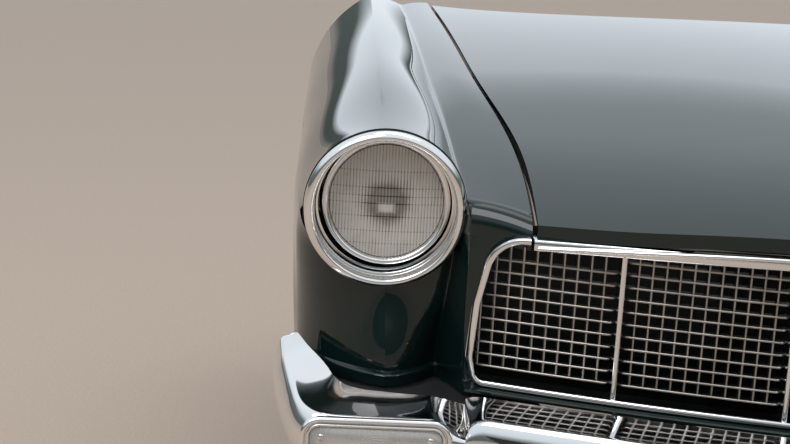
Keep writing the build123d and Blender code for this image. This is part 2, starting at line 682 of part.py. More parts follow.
# Egg-crate mesh: level bars in front, upright bars behind them, in six sections
mesh_rows = int((mesh_top - mesh_bottom) / MESH_ROW_PITCH)
row_pitch = (mesh_top - mesh_bottom) / mesh_rows
with BuildPart() as rows:
    for number in range(1, mesh_rows):
        level = mesh_bottom + number * row_pitch
        add(mesh_slab(MESH_RECESS - MESH_LAYER, MESH_RECESS, level - MESH_BAR / 2, level + MESH_BAR / 2))
upright_layer = mesh_slab(MESH_RECESS + SEAT_GAP, MESH_RECESS + SEAT_GAP + MESH_LAYER, mesh_bottom, mesh_top)
inside = front_extrusion(FRAME_BAR)
edges = [-GRILLE_HALF_WAIST, *DIVIDERS_X, GRILLE_HALF_WAIST]
for section, (start, end) in enumerate(zip(edges[:-1], edges[1:]), start=1):
    left_end = start + DIVIDER_WIDTH / 2 if section > 1 else start
    right_end = end - DIVIDER_WIDTH / 2 if section < len(edges) - 1 else end
    columns = round((right_end - left_end) / MESH_COLUMN_PITCH)
    pitch = (right_end - left_end) / columns
    with BuildPart() as mesh:
        add(rows.part)
        with BuildPart(mode=Mode.PRIVATE) as uprights:
            add(upright_layer)
            with BuildSketch(Plane.XZ):
                for number in range(1, columns):
                    with Locations((left_end + number * pitch, 0)):
                        Rectangle(MESH_BAR, HOOD_CEILING)
            extrude(amount=PAST, mode=Mode.INTERSECT)
        add(uprights.part)
        with BuildSketch(Plane.XZ):
            with Locations(((left_end + right_end) / 2, 0)):
                Rectangle(right_end - left_end, HOOD_CEILING)
        extrude(amount=PAST, mode=Mode.INTERSECT)
        add(inside, mode=Mode.INTERSECT)
    to_step(mesh, f"grille_mesh_{section}")

# Bumper end: rows give the ridge point, the way it faces in plan, and the section there
BUMPER_END = [
    # x, y, facing angle, shelf reach, shelf z, ridge z, foot z
    (BUMPER_NOTCH_X + SEAT_GAP, -1846, -90, 62, 480, 464, 372),
    (860, -1855, -88, 74, 484, 467, 370),
    (900, -1853, -81, 69, 485, 468, 370),
    (925, -1846, -61, 68, 487, 470, 371),
    (941, -1828, -40, 63, 490, 475, 373),
    (947, -1800, -16, 52, 495, 482, 376),
    (952, -1762, -9, 40, 502, 491, 380),
    (963, -1690, -6, 24, 515, 508, 390),
    (967, -1615, -2, 14, 522, 517, 398),
]

# Bumper blade: rows give the plan point and the section there, from the middle outwards
BUMPER_BLADE = [
    # plan point, shelf z, ridge z
    ("middle", 488, 472),
    ("inner", 488, 472),
    ("outer", 487, 471),
    ("end", 484, 468),
]
BLADE_FOOT = 372.0


def bumper_section(x, y, angle, reach, shelf_z, ridge_z, foot_z):
    """One thin section of the bumper, on the upright plane through its ridge."""
    facing = (cos(radians(angle)), sin(radians(angle)), 0)
    plane = Plane(origin=(x, y, 0), x_dir=facing, z_dir=(facing[1], -facing[0], 0))
    wall = BUMPER_SKIN
    ridge, shelf, foot = up(ridge_z), up(shelf_z), up(foot_z)
    knee = foot + BUMPER_KNEE
    sag = (shelf + ridge) / 2 - reach / 20
    with BuildSketch(plane) as face:
        with BuildLine():
            ThreePointArc((-reach, shelf), (-reach / 2 - 2, sag), (-4, ridge))
            ThreePointArc((-4, ridge), (8, (ridge + knee) / 2), (-2, knee))
            ThreePointArc((-2, knee), (-10, foot + 8), (-26, foot))
            Line((-26, foot), (-26, foot + wall))
            ThreePointArc((-26, foot + wall), (-13, foot + wall + 7), (-6, knee + 1))
            ThreePointArc((-6, knee + 1), (BUMPER_FACE, (ridge + knee) / 2), (-6, ridge - wall))
            ThreePointArc((-6, ridge - wall), (-reach / 2 - 3, sag - wall), (-reach, shelf - wall))
            Line((-reach, shelf - wall), (-reach, shelf))
        make_face()
    return face.sketch


with BuildPart() as bumper_end:
    loft(sections=[bumper_section(*row) for row in BUMPER_END], ruled=True)
    with BuildSketch(Plane.XZ.offset(-PARKING_LAMP["y"] + BUMPER_CUT_DEPTH)):
        with Locations((PARKING_LAMP["x"], up(PARKING_LAMP["middle"]))):
            RectangleRounded(PARKING_LAMP["width"] + 2 * (PARKING_WALL + SEAT_GAP),
                             PARKING_LAMP["height"] + 2 * (PARKING_WALL + SEAT_GAP),
                             PARKING_LAMP["corner"] + PARKING_WALL)
    extrude(amount=-2 * BUMPER_CUT_DEPTH, mode=Mode.SUBTRACT)
both_sides(bumper_end, "bumper_end")

def blade_sections(rows, side):
    """The blade's sections at the plan points of some rows, on one side of the car."""
    sections = []
    for name, shelf_z, ridge_z in rows:
        x, y = plan_point(name, -BUMPER_AHEAD, side)
        sections.append(bumper_section(x, y, -90, BUMPER_SHELF, shelf_z, ridge_z, BLADE_FOOT))
    return sections


with BuildPart() as bumper_blade:
    loft(sections=blade_sections(BUMPER_BLADE[:0:-1], -1) + blade_sections(BUMPER_BLADE, 1))
to_step(bumper_blade, "bumper_blade")


def lamp_block(front, depth, margin):
    """A block with the parking lamp's outline, grown by margin, from front backwards."""
    with BuildPart() as block:
        with BuildSketch(Plane.XZ.offset(-PARKING_LAMP["y"] - front)):
            with Locations((PARKING_LAMP["x"], up(PARKING_LAMP["middle"]))):
                RectangleRounded(PARKING_LAMP["width"] + 2 * margin, PARKING_LAMP["height"] + 2 * margin,
                                 PARKING_LAMP["corner"] + margin)
        extrude(amount=-depth)
    return block.part


# Parking lamps in the bumper ends: housing with its frame on the chrome, and the lens
with BuildPart() as lamp_housing:
    add(lamp_block(-PARKING_FRAME_PLATE, PARKING_FRAME_PLATE + PARKING_DEPTH, PARKING_WALL))
    add(lamp_block(-PARKING_FRAME_PLATE, PARKING_FRAME_PLATE - SEAT_GAP, PARKING_FRAME))
    add(lamp_block(-PARKING_FRAME_PLATE, PARKING_FRAME_PLATE + PARKING_DEPTH - PARKING_FLOOR, 0.0),
        mode=Mode.SUBTRACT)
both_sides(lamp_housing, "parking_lamp_housing")

with BuildPart() as lamp_lens:
    add(lamp_block(PARKING_SET - PARKING_FRAME_PLATE,
                   PARKING_FRAME_PLATE + PARKING_DEPTH - PARKING_FLOOR - PARKING_SET - SEAT_GAP, -SEAT_GAP))
both_sides(lamp_lens, "parking_lamp_lens")

# Bumper back bar, which carries the blade on the arms
BAR_STATIONS = [(row[0], -1) for row in BUMPER_BLADE[:0:-1]] + [(row[0], 1) for row in BUMPER_BLADE]


def bar_seat():
    """How far the back bar's front face lies ahead of the plan line, where it meets the blade's inside."""
    knee, ridge = BLADE_FOOT + BUMPER_KNEE + 1, BUMPER_BLADE[-1][2] - BUMPER_SKIN
    half, middle = (ridge - knee) / 2, (ridge + knee) / 2
    radius = (half ** 2 + BUMPER_FACE_CROWN ** 2) / (2 * BUMPER_FACE_CROWN)
    edge = max(abs(BAR_TOP - middle), abs(BAR_BOTTOM - middle))
    return BUMPER_FACE - (radius - (radius ** 2 - edge ** 2) ** 0.5) - SEAT_GAP


def bar_section(name, side, ahead, height):
    """The back bar's section at a plan point, reaching ahead of its front face."""
    x, y = plan_point(name, -BUMPER_AHEAD, side)
    with BuildSketch(Plane(origin=(x, y - bar_seat(), 0), x_dir=(0, -1, 0), z_dir=(-1, 0, 0))) as face:
        with Locations(((ahead - BAR_THICKNESS) / 2, up((BAR_BOTTOM + BAR_TOP) / 2))):
            Rectangle(ahead + BAR_THICKNESS, height)
    return face.sketch


with BuildPart() as back_bar:
    loft(sections=[bar_section(name, side, 0.0, BAR_TOP - BAR_BOTTOM) for name, side in BAR_STATIONS])
to_step(back_bar, "bumper_back_bar")

# Structure: rails, cross member, radiator support, radiator, aprons, bumper arms, valance
with BuildPart() as rail:
    with BuildSketch(Plane.XZ):
        with Locations((RAIL_X, up(RAIL_TOP - RAIL_DEPTH / 2))):
            Rectangle(RAIL_WIDTH, RAIL_DEPTH)
            Rectangle(RAIL_WIDTH - 2 * RAIL_WALL, RAIL_DEPTH - 2 * RAIL_WALL, mode=Mode.SUBTRACT)
    extrude(amount=-RAIL_FRONT)
both_sides(rail, "frame_rail")

with BuildPart() as cross_member:
    width, height = CROSS_MEMBER
    with BuildSketch(Plane.YZ):
        with Locations((AXLE_Y, up(RAIL_TOP - RAIL_DEPTH / 2))):
            Rectangle(width, height)
            Rectangle(width - 2 * CROSS_WALL, height - 2 * CROSS_WALL, mode=Mode.SUBTRACT)
    extrude(amount=RAIL_X - RAIL_WIDTH / 2, both=True)
to_step(cross_member, "cross_member")

with BuildPart() as support:
    support_height = SUPPORT_TOP - SUPPORT_BOTTOM
    radiator_height = RADIATOR_TOP - RADIATOR_BOTTOM
    with BuildSketch(Plane.XZ.offset(-SUPPORT_Y)):
        with Locations((0, up((SUPPORT_BOTTOM + SUPPORT_TOP) / 2))):
            Rectangle(2 * (SUPPORT_HALF_WIDTH + SUPPORT_WING), support_height)
        with Locations((0, up((RADIATOR_BOTTOM + RADIATOR_TOP) / 2))):
            Rectangle(2 * (RADIATOR_HALF_WIDTH - RADIATOR_LAP), radiator_height - 2 * RADIATOR_LAP,
                      mode=Mode.SUBTRACT)
    extrude(amount=-SUPPORT_PLATE)
    with BuildSketch(Plane.XZ.offset(-SUPPORT_Y - SUPPORT_PLATE)):
        with Locations((0, up((SUPPORT_BOTTOM + SUPPORT_TOP) / 2))):
            Rectangle(2 * SUPPORT_HALF_WIDTH, support_height)
            Rectangle(2 * (SUPPORT_HALF_WIDTH - SUPPORT_PLATE), support_height - 2 * SUPPORT_PLATE,
                      mode=Mode.SUBTRACT)
    extrude(amount=-SUPPORT_RIM)
to_step(support, "radiator_support")

with BuildPart() as radiator:
    with BuildSketch(Plane.XZ.offset(-SUPPORT_Y - SUPPORT_PLATE)):
        with Locations((0, up((RADIATOR_BOTTOM + RADIATOR_TOP) / 2))):
            Rectangle(2 * RADIATOR_HALF_WIDTH, RADIATOR_TOP - RADIATOR_BOTTOM)
    extrude(amount=-RADIATOR_DEPTH)
to_step(radiator, "radiator")

with BuildPart() as apron:
    apron_front = SUPPORT_Y + SUPPORT_PLATE + SUPPORT_RIM
    with BuildSketch(Plane.YZ.offset(APRON_X)):
        with BuildLine():
            Polyline((apron_front, up(SUPPORT_BOTTOM)), (apron_front, up(SUPPORT_TOP)),
                     (APRON_CROWN[0], up(APRON_CROWN[1])), (0, up(APRON_REAR[0])), (0, up(APRON_REAR[1])),
                     (apron_front, up(SUPPORT_BOTTOM)))
        make_face()
    extrude(amount=APRON_PLATE)
both_sides(apron, "inner_apron")

with BuildPart() as arms:
    with BuildSketch(Plane.XY.offset(up(ARM_BOTTOM))):
        for side in (-1, 1):
            with Locations((side * RAIL_X, (RAIL_FRONT + ARM_FRONT) / 2)):
                Rectangle(ARM_WIDTH, RAIL_FRONT - ARM_FRONT)
    extrude(amount=ARM_HEIGHT)
    loft(sections=[bar_section(name, side, BUMPER_AHEAD, HOOD_CEILING) for name, side in BAR_STATIONS],
         mode=Mode.SUBTRACT)
to_step(arms, "bumper_arms")

# Valance: a flat pan from ahead of the grille's foot back to the radiator support
with BuildPart() as valance:
    with BuildSketch(Plane.XY.offset(up(GRILLE_BOTTOM) - SEAT_GAP)):
        pan_end = plan_point("end", -VALANCE_AHEAD)
        pan_rear = SUPPORT_Y - SEAT_GAP
        with BuildLine():
            plan_curve(-VALANCE_AHEAD)
            Polyline(pan_end, (pan_end[0], pan_rear), (-pan_end[0], pan_rear), (-pan_end[0], pan_end[1]))
        make_face()
    extrude(amount=-VALANCE_PLATE)
to_step(valance, "valance")


# Hinges: brackets and pins on the aprons, arms under the hood frame
bracket_x = APRON_X - HINGE_THICKNESS
arm_x = bracket_x - HINGE_ARM_GAP - HINGE_ARM
with BuildPart() as hinge_bracket:
    with BuildSketch(Plane.YZ.offset(bracket_x)):
        with BuildLine():
            head_z = up(HINGE_HEIGHT) + HINGE_BRACKET_HEAD[1]
            foot_z = up(HINGE_HEIGHT) + HINGE_BRACKET_FOOT[1]
            head_half, foot_half = HINGE_BRACKET_HEAD[0], HINGE_BRACKET_FOOT[0]
            Polyline((HINGE_Y - head_half, head_z), (HINGE_Y + head_half, head_z),
                     (HINGE_Y + foot_half, foot_z), (HINGE_Y - foot_half, foot_z),
                     (HINGE_Y - head_half, head_z))
        make_face()
    extrude(amount=HINGE_THICKNESS)
    with BuildSketch(Plane.YZ.offset(bracket_x)):
        with Locations((HINGE_Y, up(HINGE_HEIGHT))):
            Circle(HINGE_PIN)
    extrude(amount=-HINGE_ARM - 2 * HINGE_ARM_GAP - SKIN)
both_sides(hinge_bracket, "hinge_bracket")

with BuildPart() as hinge_arms:
    for start, reach in ((arm_x, HINGE_ARM), (-arm_x, -HINGE_ARM)):
        with BuildSketch(Plane.YZ.offset(start)):
            with Locations((HINGE_Y, up(HINGE_HEIGHT))):
                Circle(HINGE_EYE)
            eye_top = (HINGE_Y + HINGE_TANGENT[0], up(HINGE_HEIGHT) + HINGE_TANGENT[1])
            eye_bottom = (HINGE_Y - HINGE_TANGENT[0], up(HINGE_HEIGHT) - HINGE_TANGENT[1])
            with BuildLine():
                Polyline(eye_top, eye_bottom, (HINGE_PAD[0], up(HINGE_PAD_BOTTOM)),
                         (HINGE_PAD[0], up(HINGE_PAD_TOP)), (HINGE_PAD[1], up(HINGE_PAD_TOP)), eye_top)
            make_face()
            with Locations((HINGE_Y, up(HINGE_HEIGHT))):
                Circle(HINGE_PIN + SEAT_GAP, mode=Mode.SUBTRACT)
        extrude(amount=reach)
    add(under_hood(SKIN + HOOD_FRAME_DEPTH + SEAT_GAP), mode=Mode.INTERSECT)
to_step(hinge_arms, "hood_hinge_arms")

# Latch: a strap from the radiator support to the grille's rail, and the striker on the hood
with BuildPart() as latch:
    latch_rear = SUPPORT_Y + SUPPORT_PLATE
    with BuildSketch(Plane.XY.offset(up(HEADER_TOP))):
        with Locations((0, (latch_rear + LATCH_FRONT) / 2)):
            Rectangle(2 * LATCH_HALF_WIDTH, latch_rear - LATCH_FRONT)
        with Locations((0, STRIKER_Y)):
            Circle(LATCH_HOLE, mode=Mode.SUBTRACT)
    extrude(amount=LATCH_PLATE)
to_step(latch, "hood_latch")

with BuildPart() as striker:
    with BuildSketch(Plane.XY.offset(up(HEADER_TOP) - STRIKER_REACH)):
        with Locations((0, STRIKER_Y)):
            Circle(STRIKER_RADIUS)
    extrude(amount=STRIKER_REACH + STRIKER_HEAD)
    with BuildSketch(Plane.XY.offset(up(HEADER_TOP) + STRIKER_HEAD)):
        with Locations((0, STRIKER_Y)):
            Circle(3 * STRIKER_RADIUS)
    extrude(amount=HOOD_CEILING - HEADER_TOP)
    add(under_hood(SKIN + HOOD_FRAME_DEPTH + SEAT_GAP), mode=Mode.INTERSECT)
to_step(striker, "hood_striker")
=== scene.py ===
import json
from math import cos, pi, radians, sin, tan

import bmesh
import bpy
import numpy as np
from mathutils import Matrix, Vector


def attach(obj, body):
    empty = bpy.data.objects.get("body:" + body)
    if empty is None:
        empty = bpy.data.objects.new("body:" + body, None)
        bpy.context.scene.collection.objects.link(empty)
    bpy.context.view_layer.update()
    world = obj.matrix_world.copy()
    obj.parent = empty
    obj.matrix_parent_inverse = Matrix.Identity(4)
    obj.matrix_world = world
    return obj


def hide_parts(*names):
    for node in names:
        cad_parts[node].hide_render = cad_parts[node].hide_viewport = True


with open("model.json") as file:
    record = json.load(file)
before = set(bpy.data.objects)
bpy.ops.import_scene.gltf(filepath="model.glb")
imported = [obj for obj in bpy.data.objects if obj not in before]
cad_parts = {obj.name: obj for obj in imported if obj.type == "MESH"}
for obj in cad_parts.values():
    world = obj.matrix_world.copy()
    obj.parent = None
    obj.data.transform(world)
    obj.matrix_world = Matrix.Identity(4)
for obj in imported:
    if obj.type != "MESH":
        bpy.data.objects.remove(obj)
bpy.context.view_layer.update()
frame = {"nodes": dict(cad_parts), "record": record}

# Sizes are written in millimetres above the road, as in the model, and placed in metres
MM = 0.001
ORIGIN_HEIGHT = 565.0


def place(x, y, z):
    """A point in millimetres, its height above the road, as a point of the scene."""
    return Vector((x * MM, y * MM, (z - ORIGIN_HEIGHT) * MM))


# Camera: the photograph's focal length, pitch, turn and roll
IMAGE_WIDTH = 790.0
SENSOR_WIDTH = 36.0
FOCAL_PIXELS = 1750.0
CAMERA_PLACE = (-905.0, -4175.0, 1195.0)
CAMERA_PITCH = 11.0
CAMERA_TURN = 2.0
CAMERA_ROLL = 3.0


def make_camera():
    """The photograph's viewpoint, near and a little above the right headlamp."""
    data = bpy.data.cameras.new("camera")
    camera = bpy.data.objects.new("camera", data)
    bpy.context.scene.collection.objects.link(camera)
    data.sensor_width = SENSOR_WIDTH
    data.lens = FOCAL_PIXELS / IMAGE_WIDTH * data.sensor_width
    pitch, turn, roll = radians(CAMERA_PITCH), radians(CAMERA_TURN), radians(CAMERA_ROLL)
    ahead = Vector((sin(turn), cos(turn), 0.0))
    across = Vector((cos(turn), -sin(turn), 0.0))
    look = ahead * cos(pitch) - Vector((0, 0, 1)) * sin(pitch)
    lift = ahead * sin(pitch) + Vector((0, 0, 1)) * cos(pitch)
    right = across * cos(roll) + lift * sin(roll)
    top = lift * cos(roll) - across * sin(roll)
    turned = Matrix((right, top, -look)).transposed().to_4x4()
    camera.matrix_world = Matrix.Translation(place(*CAMERA_PLACE)) @ turned
    bpy.context.scene.camera = camera


make_camera()


# Materials: helpers that add nodes to a tree and return what comes out of them
def new_material(name, color, metallic, roughness):
    """A material, its node tree and its main shader."""
    material = bpy.data.materials.new(name)
    material.use_nodes = True
    shader = material.node_tree.nodes["Principled BSDF"]
    shader.inputs["Base Color"].default_value = (*color, 1.0)
    shader.inputs["Metallic"].default_value = metallic
    shader.inputs["Roughness"].default_value = roughness
    return material, material.node_tree, shader


def noise(tree, scale, detail, rough=0.55):
    """Noise in the object's own space."""
    space = tree.nodes.new("ShaderNodeTexCoord")
    texture = tree.nodes.new("ShaderNodeTexNoise")
    texture.inputs["Scale"].default_value = scale
    texture.inputs["Detail"].default_value = detail
    texture.inputs["Roughness"].default_value = rough
    tree.links.new(space.outputs["Object"], texture.inputs["Vector"])
    return texture.outputs["Fac"]


def ramp(tree, source, stops):
    """A colour ramp on source, stops being (place, colour)."""
    node = tree.nodes.new("ShaderNodeValToRGB")
    elements = node.color_ramp.elements
    while len(elements) < len(stops):
        elements.new(0.5)
    for element, (where, color) in zip(elements, stops):
        element.position = where
        element.color = (*color, 1.0)
    tree.links.new(source, node.inputs["Fac"])
    return node.outputs["Color"]


def spread(tree, source, low, high, start=0.0, end=1.0):
    """Source, from start to end, spread between low and high."""
    node = tree.nodes.new("ShaderNodeMapRange")
    for socket, value in (("From Min", start), ("From Max", end), ("To Min", low), ("To Max", high)):
        node.inputs[socket].default_value = value
    tree.links.new(source, node.inputs["Value"])
    return node.outputs["Result"]


def tinted(tree, shader, source, stops):
    """The shader's colour, by a colour ramp on source."""
    tree.links.new(ramp(tree, source, stops), shader.inputs["Base Color"])


def roughened(tree, shader, source, low, high):
    """The shader's roughness, source spread between low and high."""
    tree.links.new(spread(tree, source, low, high), shader.inputs["Roughness"])


def bumped(tree, shader, source, distance, strength):
    """Relief from source, distance in metres."""
    node = tree.nodes.new("ShaderNodeBump")
    node.inputs["Distance"].default_value = distance
    node.inputs["Strength"].default_value = strength
    tree.links.new(source, node.inputs["Height"])
    tree.links.new(node.outputs["Normal"], shader.inputs["Normal"])


class Value:
    """A number in a node tree: every step of arithmetic with it adds a math node."""

    def __init__(self, tree, socket):
        self.tree = tree
        self.socket = socket

    def step(self, operation, *operands):
        """One math node on numbers or values."""
        node = self.tree.nodes.new("ShaderNodeMath")
        node.operation = operation
        for socket, operand in zip(node.inputs, operands):
            if isinstance(operand, Value):
                self.tree.links.new(operand.socket, socket)
            else:
                socket.default_value = operand
        return Value(self.tree, node.outputs["Value"])

    def __add__(self, other):
        return self.step("ADD", self, other)

    def __sub__(self, other):
        return self.step("SUBTRACT", self, other)

    def __rsub__(self, other):
        return self.step("SUBTRACT", other, self)

    def __mul__(self, other):
        return self.step("MULTIPLY", self, other)

    def __lt__(self, other):
        return self.step("LESS_THAN", self, other)

    def __abs__(self):
        return self.step("ABSOLUTE", self)

    def spread(self, low, high, start=0.0, end=1.0):
        """The value, from start to end, spread between low and high."""
        return Value(self.tree, spread(self.tree, self.socket, low, high, start, end))

    def waves(self, pitch):
        """Waves from 0 to 1 with a pitch in metres."""
        return self.step("SINE", self * (2 * pi / pitch)).spread(0.0, 1.0, start=-1.0)


def lamp_values(tree, x, height):
    """Distances across and up from a lamp's middle, on either side of the car, and straight from it."""
    space = tree.nodes.new("ShaderNodeTexCoord")
    split = tree.nodes.new("ShaderNodeSeparateXYZ")
    tree.links.new(space.outputs["Object"], split.inputs["Vector"])
    across = abs(Value(tree, split.outputs["X"])) - x * MM
    rise = Value(tree, split.outputs["Z"]) - (height - ORIGIN_HEIGHT) * MM
    squares = across * across + rise * rise
    return across, rise, squares.step("SQRT", squares)


def shades(color, darker, lighter):
    """Ramp stops from a darker to a lighter shade of a colour."""
    return [(0.3, tuple(channel * darker for channel in color)),
            (0.7, tuple(min(1.0, channel * lighter) for channel in color))]


def make_paint():
    """Very dark green paint under clear coat, with faint orange peel."""
    material, tree, shader = new_material("body_paint", (0.003, 0.011, 0.0098), 0.0, 0.32)
    stops = [(0.3, (0.0024, 0.0095, 0.0085)), (0.7, (0.0036, 0.0130, 0.0115))]
    tinted(tree, shader, noise(tree, 2.5, 3.0), stops)
    roughened(tree, shader, noise(tree, 30.0, 6.0), 0.26, 0.40)
    shader.inputs["Coat Weight"].default_value = 1.0
    shader.inputs["Coat Roughness"].default_value = 0.02
    shader.inputs["Coat IOR"].default_value = 1.5
    shader.inputs["Specular IOR Level"].default_value = 0.0
    bumped(tree, shader, noise(tree, 260.0, 2.0), 0.00003, 0.35)
    return material


def make_chrome():
    """Bright plating with fine wear in its gloss."""
    material, tree, shader = new_material("bright_trim", (0.82, 0.82, 0.83), 1.0, 0.05)
    roughened(tree, shader, noise(tree, 45.0, 8.0, 0.65), 0.02, 0.11)
    tinted(tree, shader, noise(tree, 6.0, 3.0), [(0.3, (0.80, 0.80, 0.81)), (0.7, (0.86, 0.86, 0.86))])
    bumped(tree, shader, noise(tree, 9.0, 2.0), 0.0002, 0.25)
    return material


def make_plain(name, color, metallic, low, high, scale, relief):
    """A painted or bare metal with uneven gloss and a little relief."""
    material, tree, shader = new_material(name, color, metallic, high)
    shade = noise(tree, scale, 6.0)
    tinted(tree, shader, shade, shades(color, 0.75, 1.2))
    roughened(tree, shader, shade, low, high)
    bumped(tree, shader, noise(tree, scale * 12, 3.0), relief, 0.5)
    return material


def make_glass(name, color, roughness, clear):
    """Lamp glass, more or less clear."""
    material, tree, shader = new_material(name, color, 0.0, roughness)
    shader.inputs["Transmission Weight"].default_value = clear
    shader.inputs["IOR"].default_value = 1.45
    return material, tree, shader


def make_clear_glass():
    """Clear lamp glass with a faint haze."""
    material, tree, shader = make_glass("lamp_glass", (0.95, 0.95, 0.93), 0.03, 1.0)
    roughened(tree, shader, noise(tree, 60.0, 4.0), 0.01, 0.06)
    return material


# Middles of the lamps, and the patterns of their glass in metres
PARKING_MIDDLE = (835.0, 421.0)
PARKING_PITCH = 0.0034
PARKING_CIRCLES = 0.026
HEADLAMP_MIDDLE = (832.0, 740.0)
HEADLAMP_PITCH = 0.0046
HEADLAMP_BANDS = (-0.062, -0.043, -0.021, -0.002, 0.009, 0.021, 0.045)
BAND_LINE = 0.0008
# Edges of the painted shadow of the bulb shield, and the place, slenderness and edges of the painted
# highlight of the bulb
SHIELD_SHADE_EDGE = (0.024, 0.046)
BULB_HIGHLIGHT_DROP = 0.008
BULB_HIGHLIGHT_SLENDER = 0.55
BULB_HIGHLIGHT_EDGE = (0.0035, 0.0085)
# How much the flutes' painted glints, the band lines' painted shade and the bulb's painted highlight change
# the tone, and the blotches that multiply it
FLUTE_GLINT_TONE = 0.62
LINE_SHADE_TONE = 0.22
BULB_HIGHLIGHT_TONE = 0.5
BLOTCH_TONES = (0.80, 2.60)


def make_parking_glass():
    """Ribbed clear glass: upright ribs, and rings about its middle."""
    material, tree, shader = make_glass("parking_glass", (0.78, 0.75, 0.71), 0.10, 0.55)
    across, rise, radius = lamp_values(tree, *PARKING_MIDDLE)
    circles = radius < PARKING_CIRCLES
    ribs = (radius * circles + abs(across) * (1.0 - circles)).waves(PARKING_PITCH)
    bumped(tree, shader, ribs.socket, 0.0006, 0.7)
    roughened(tree, shader, noise(tree, 90.0, 5.0), 0.06, 0.18)
    return material


def make_headlamp_glass():
    """Fluted clear glass: upright flutes in relief, and painted light and shade in its colour: glints along
    the flutes, painted shade on the level lines between the bands, a painted shadow of the bulb shield and a
    painted highlight of the bulb.
    """
    material, tree, shader = make_glass("headlamp_glass", (0.70, 0.65, 0.60), 0.08, 0.40)
    across, rise, radius = lamp_values(tree, *HEADLAMP_MIDDLE)
    flutes = across.waves(HEADLAMP_PITCH)
    bumped(tree, shader, flutes.socket, 0.0007, 0.8)
    # painted shade along the lines between the glass's bands
    lines = abs(rise - HEADLAMP_BANDS[0]) < BAND_LINE
    for edge in HEADLAMP_BANDS[1:]:
        lines = lines + (abs(rise - edge) < BAND_LINE)
    # painted shadow of the bulb shield, darker at the glass's middle
    shield = radius.spread(0.30, 1.0, *SHIELD_SHADE_EDGE)
    # painted highlight of the bulb, a bright spot just under the middle
    bulb = rise.step("MAXIMUM", abs(across) * BULB_HIGHLIGHT_SLENDER, abs(rise + BULB_HIGHLIGHT_DROP))
    bulb = bulb.spread(1.0, 0.0, *BULB_HIGHLIGHT_EDGE)
    painted_light_tone = (flutes * FLUTE_GLINT_TONE + (1 - FLUTE_GLINT_TONE)) * shield - lines * LINE_SHADE_TONE + bulb * BULB_HIGHLIGHT_TONE
    blotches = Value(tree, noise(tree, 38.0, 3.0)).spread(*BLOTCH_TONES)
    stops = [(0.0, (0.07, 0.065, 0.06)), (0.5, (0.46, 0.42, 0.37)), (1.0, (0.93, 0.88, 0.82))]
    tinted(tree, shader, (painted_light_tone * blotches).socket, stops)
    return material


PLAIN_MATERIALS = [
    # name, colour, metallic, roughness from and to, size of the noise, relief in metres
    ("inner_paint", (0.010, 0.018, 0.016), 0.0, 0.35, 0.60, 8.0, 0.0002),
    ("grille_metal", (0.38, 0.365, 0.345), 1.0, 0.24, 0.42, 20.0, 0.0001),
    # grille_painted_shade darkens the egg-crate bars' flanks as painted shade inside the cells
    ("grille_painted_shade", (0.10, 0.10, 0.10), 1.0, 0.40, 0.65, 20.0, 0.0001),
    ("lamp_metal", (0.88, 0.88, 0.87), 1.0, 0.04, 0.14, 15.0, 0.00005),
    ("lamp_bowl", (0.90, 0.88, 0.85), 1.0, 0.15, 0.25, 15.0, 0.00005),
    ("frame_black", (0.018, 0.018, 0.018), 0.0, 0.45, 0.70, 6.0, 0.0004),
    ("radiator_core", (0.014, 0.014, 0.014), 0.0, 0.55, 0.80, 10.0, 0.0004),
    # pan_black_painted_shade: the splash pans' own black, made darker than black paint as painted shade for
    # the gap behind the bumper
    ("pan_black_painted_shade", (0.003, 0.003, 0.003), 0.0, 0.75, 0.95, 6.0, 0.0004),
]
MATERIALS = {row[0]: make_plain(*row) for row in PLAIN_MATERIALS}
MATERIALS["body_paint"] = make_paint()
MATERIALS["bright_trim"] = make_chrome()
MATERIALS["lamp_glass"] = make_clear_glass()
MATERIALS["parking_glass"] = make_parking_glass()
MATERIALS["headlamp_glass"] = make_headlamp_glass()

# CAD nodes that stay get the material of their slot
for part in frame["record"]["subparts"]:
    node = frame["nodes"][part["node"]]
    node.data.materials.clear()
    node.data.materials.append(MATERIALS[part["material_slot"]])


# Floor, backdrop and lights
FLOOR_COLOR = (0.44, 0.345, 0.275)
FLOOR_HALF = 40.0


def make_floor():
    """A plain pale floor at the height of the road."""
    mesh = bpy.data.meshes.new("floor")
    low = place(0, 0, 0).z
    corners = [(x * FLOOR_HALF, y * FLOOR_HALF, low) for x, y in ((-1, -1), (1, -1), (1, 1), (-1, 1))]
    mesh.from_pydata(corners, [], [(0, 1, 2, 3)])
    floor = bpy.data.objects.new("floor", mesh)
    bpy.context.scene.collection.objects.link(floor)
    material, tree, shader = new_material("floor", FLOOR_COLOR, 0.0, 0.8)
    tinted(tree, shader, noise(tree, 140.0, 6.0), shades(FLOOR_COLOR, 0.94, 1.05))
    mesh.materials.append(material)


# World: colours by the height of the view, and a bright strip behind the car by its reach back and height
SKY = [(0.0, (0.30, 0.28, 0.26)), (0.495, (0.30, 0.28, 0.26)), (0.505, (0.10, 0.12, 0.115)),
       (0.60, (0.14, 0.17, 0.16)), (0.68, (0.74, 0.81, 0.86)), (0.82, (0.86, 0.93, 1.0)),
       (1.0, (0.96, 0.98, 1.0))]
BRIGHT_BEHIND = (0.70, 0.92)
BRIGHT_STRIP = [(0.0, 0.0), (0.05, 0.0), (0.085, 1.0), (0.30, 1.0), (0.36, 0.0)]
BRIGHT_COLOR = (0.86, 0.93, 1.0)
BRIGHT_MORE = 0.4
# Sockets of the colour mix: its share, both colours and its result
MIX_SHARE = 0
MIX_FIRST = 6
MIX_SECOND = 7
MIX_RESULT = 2


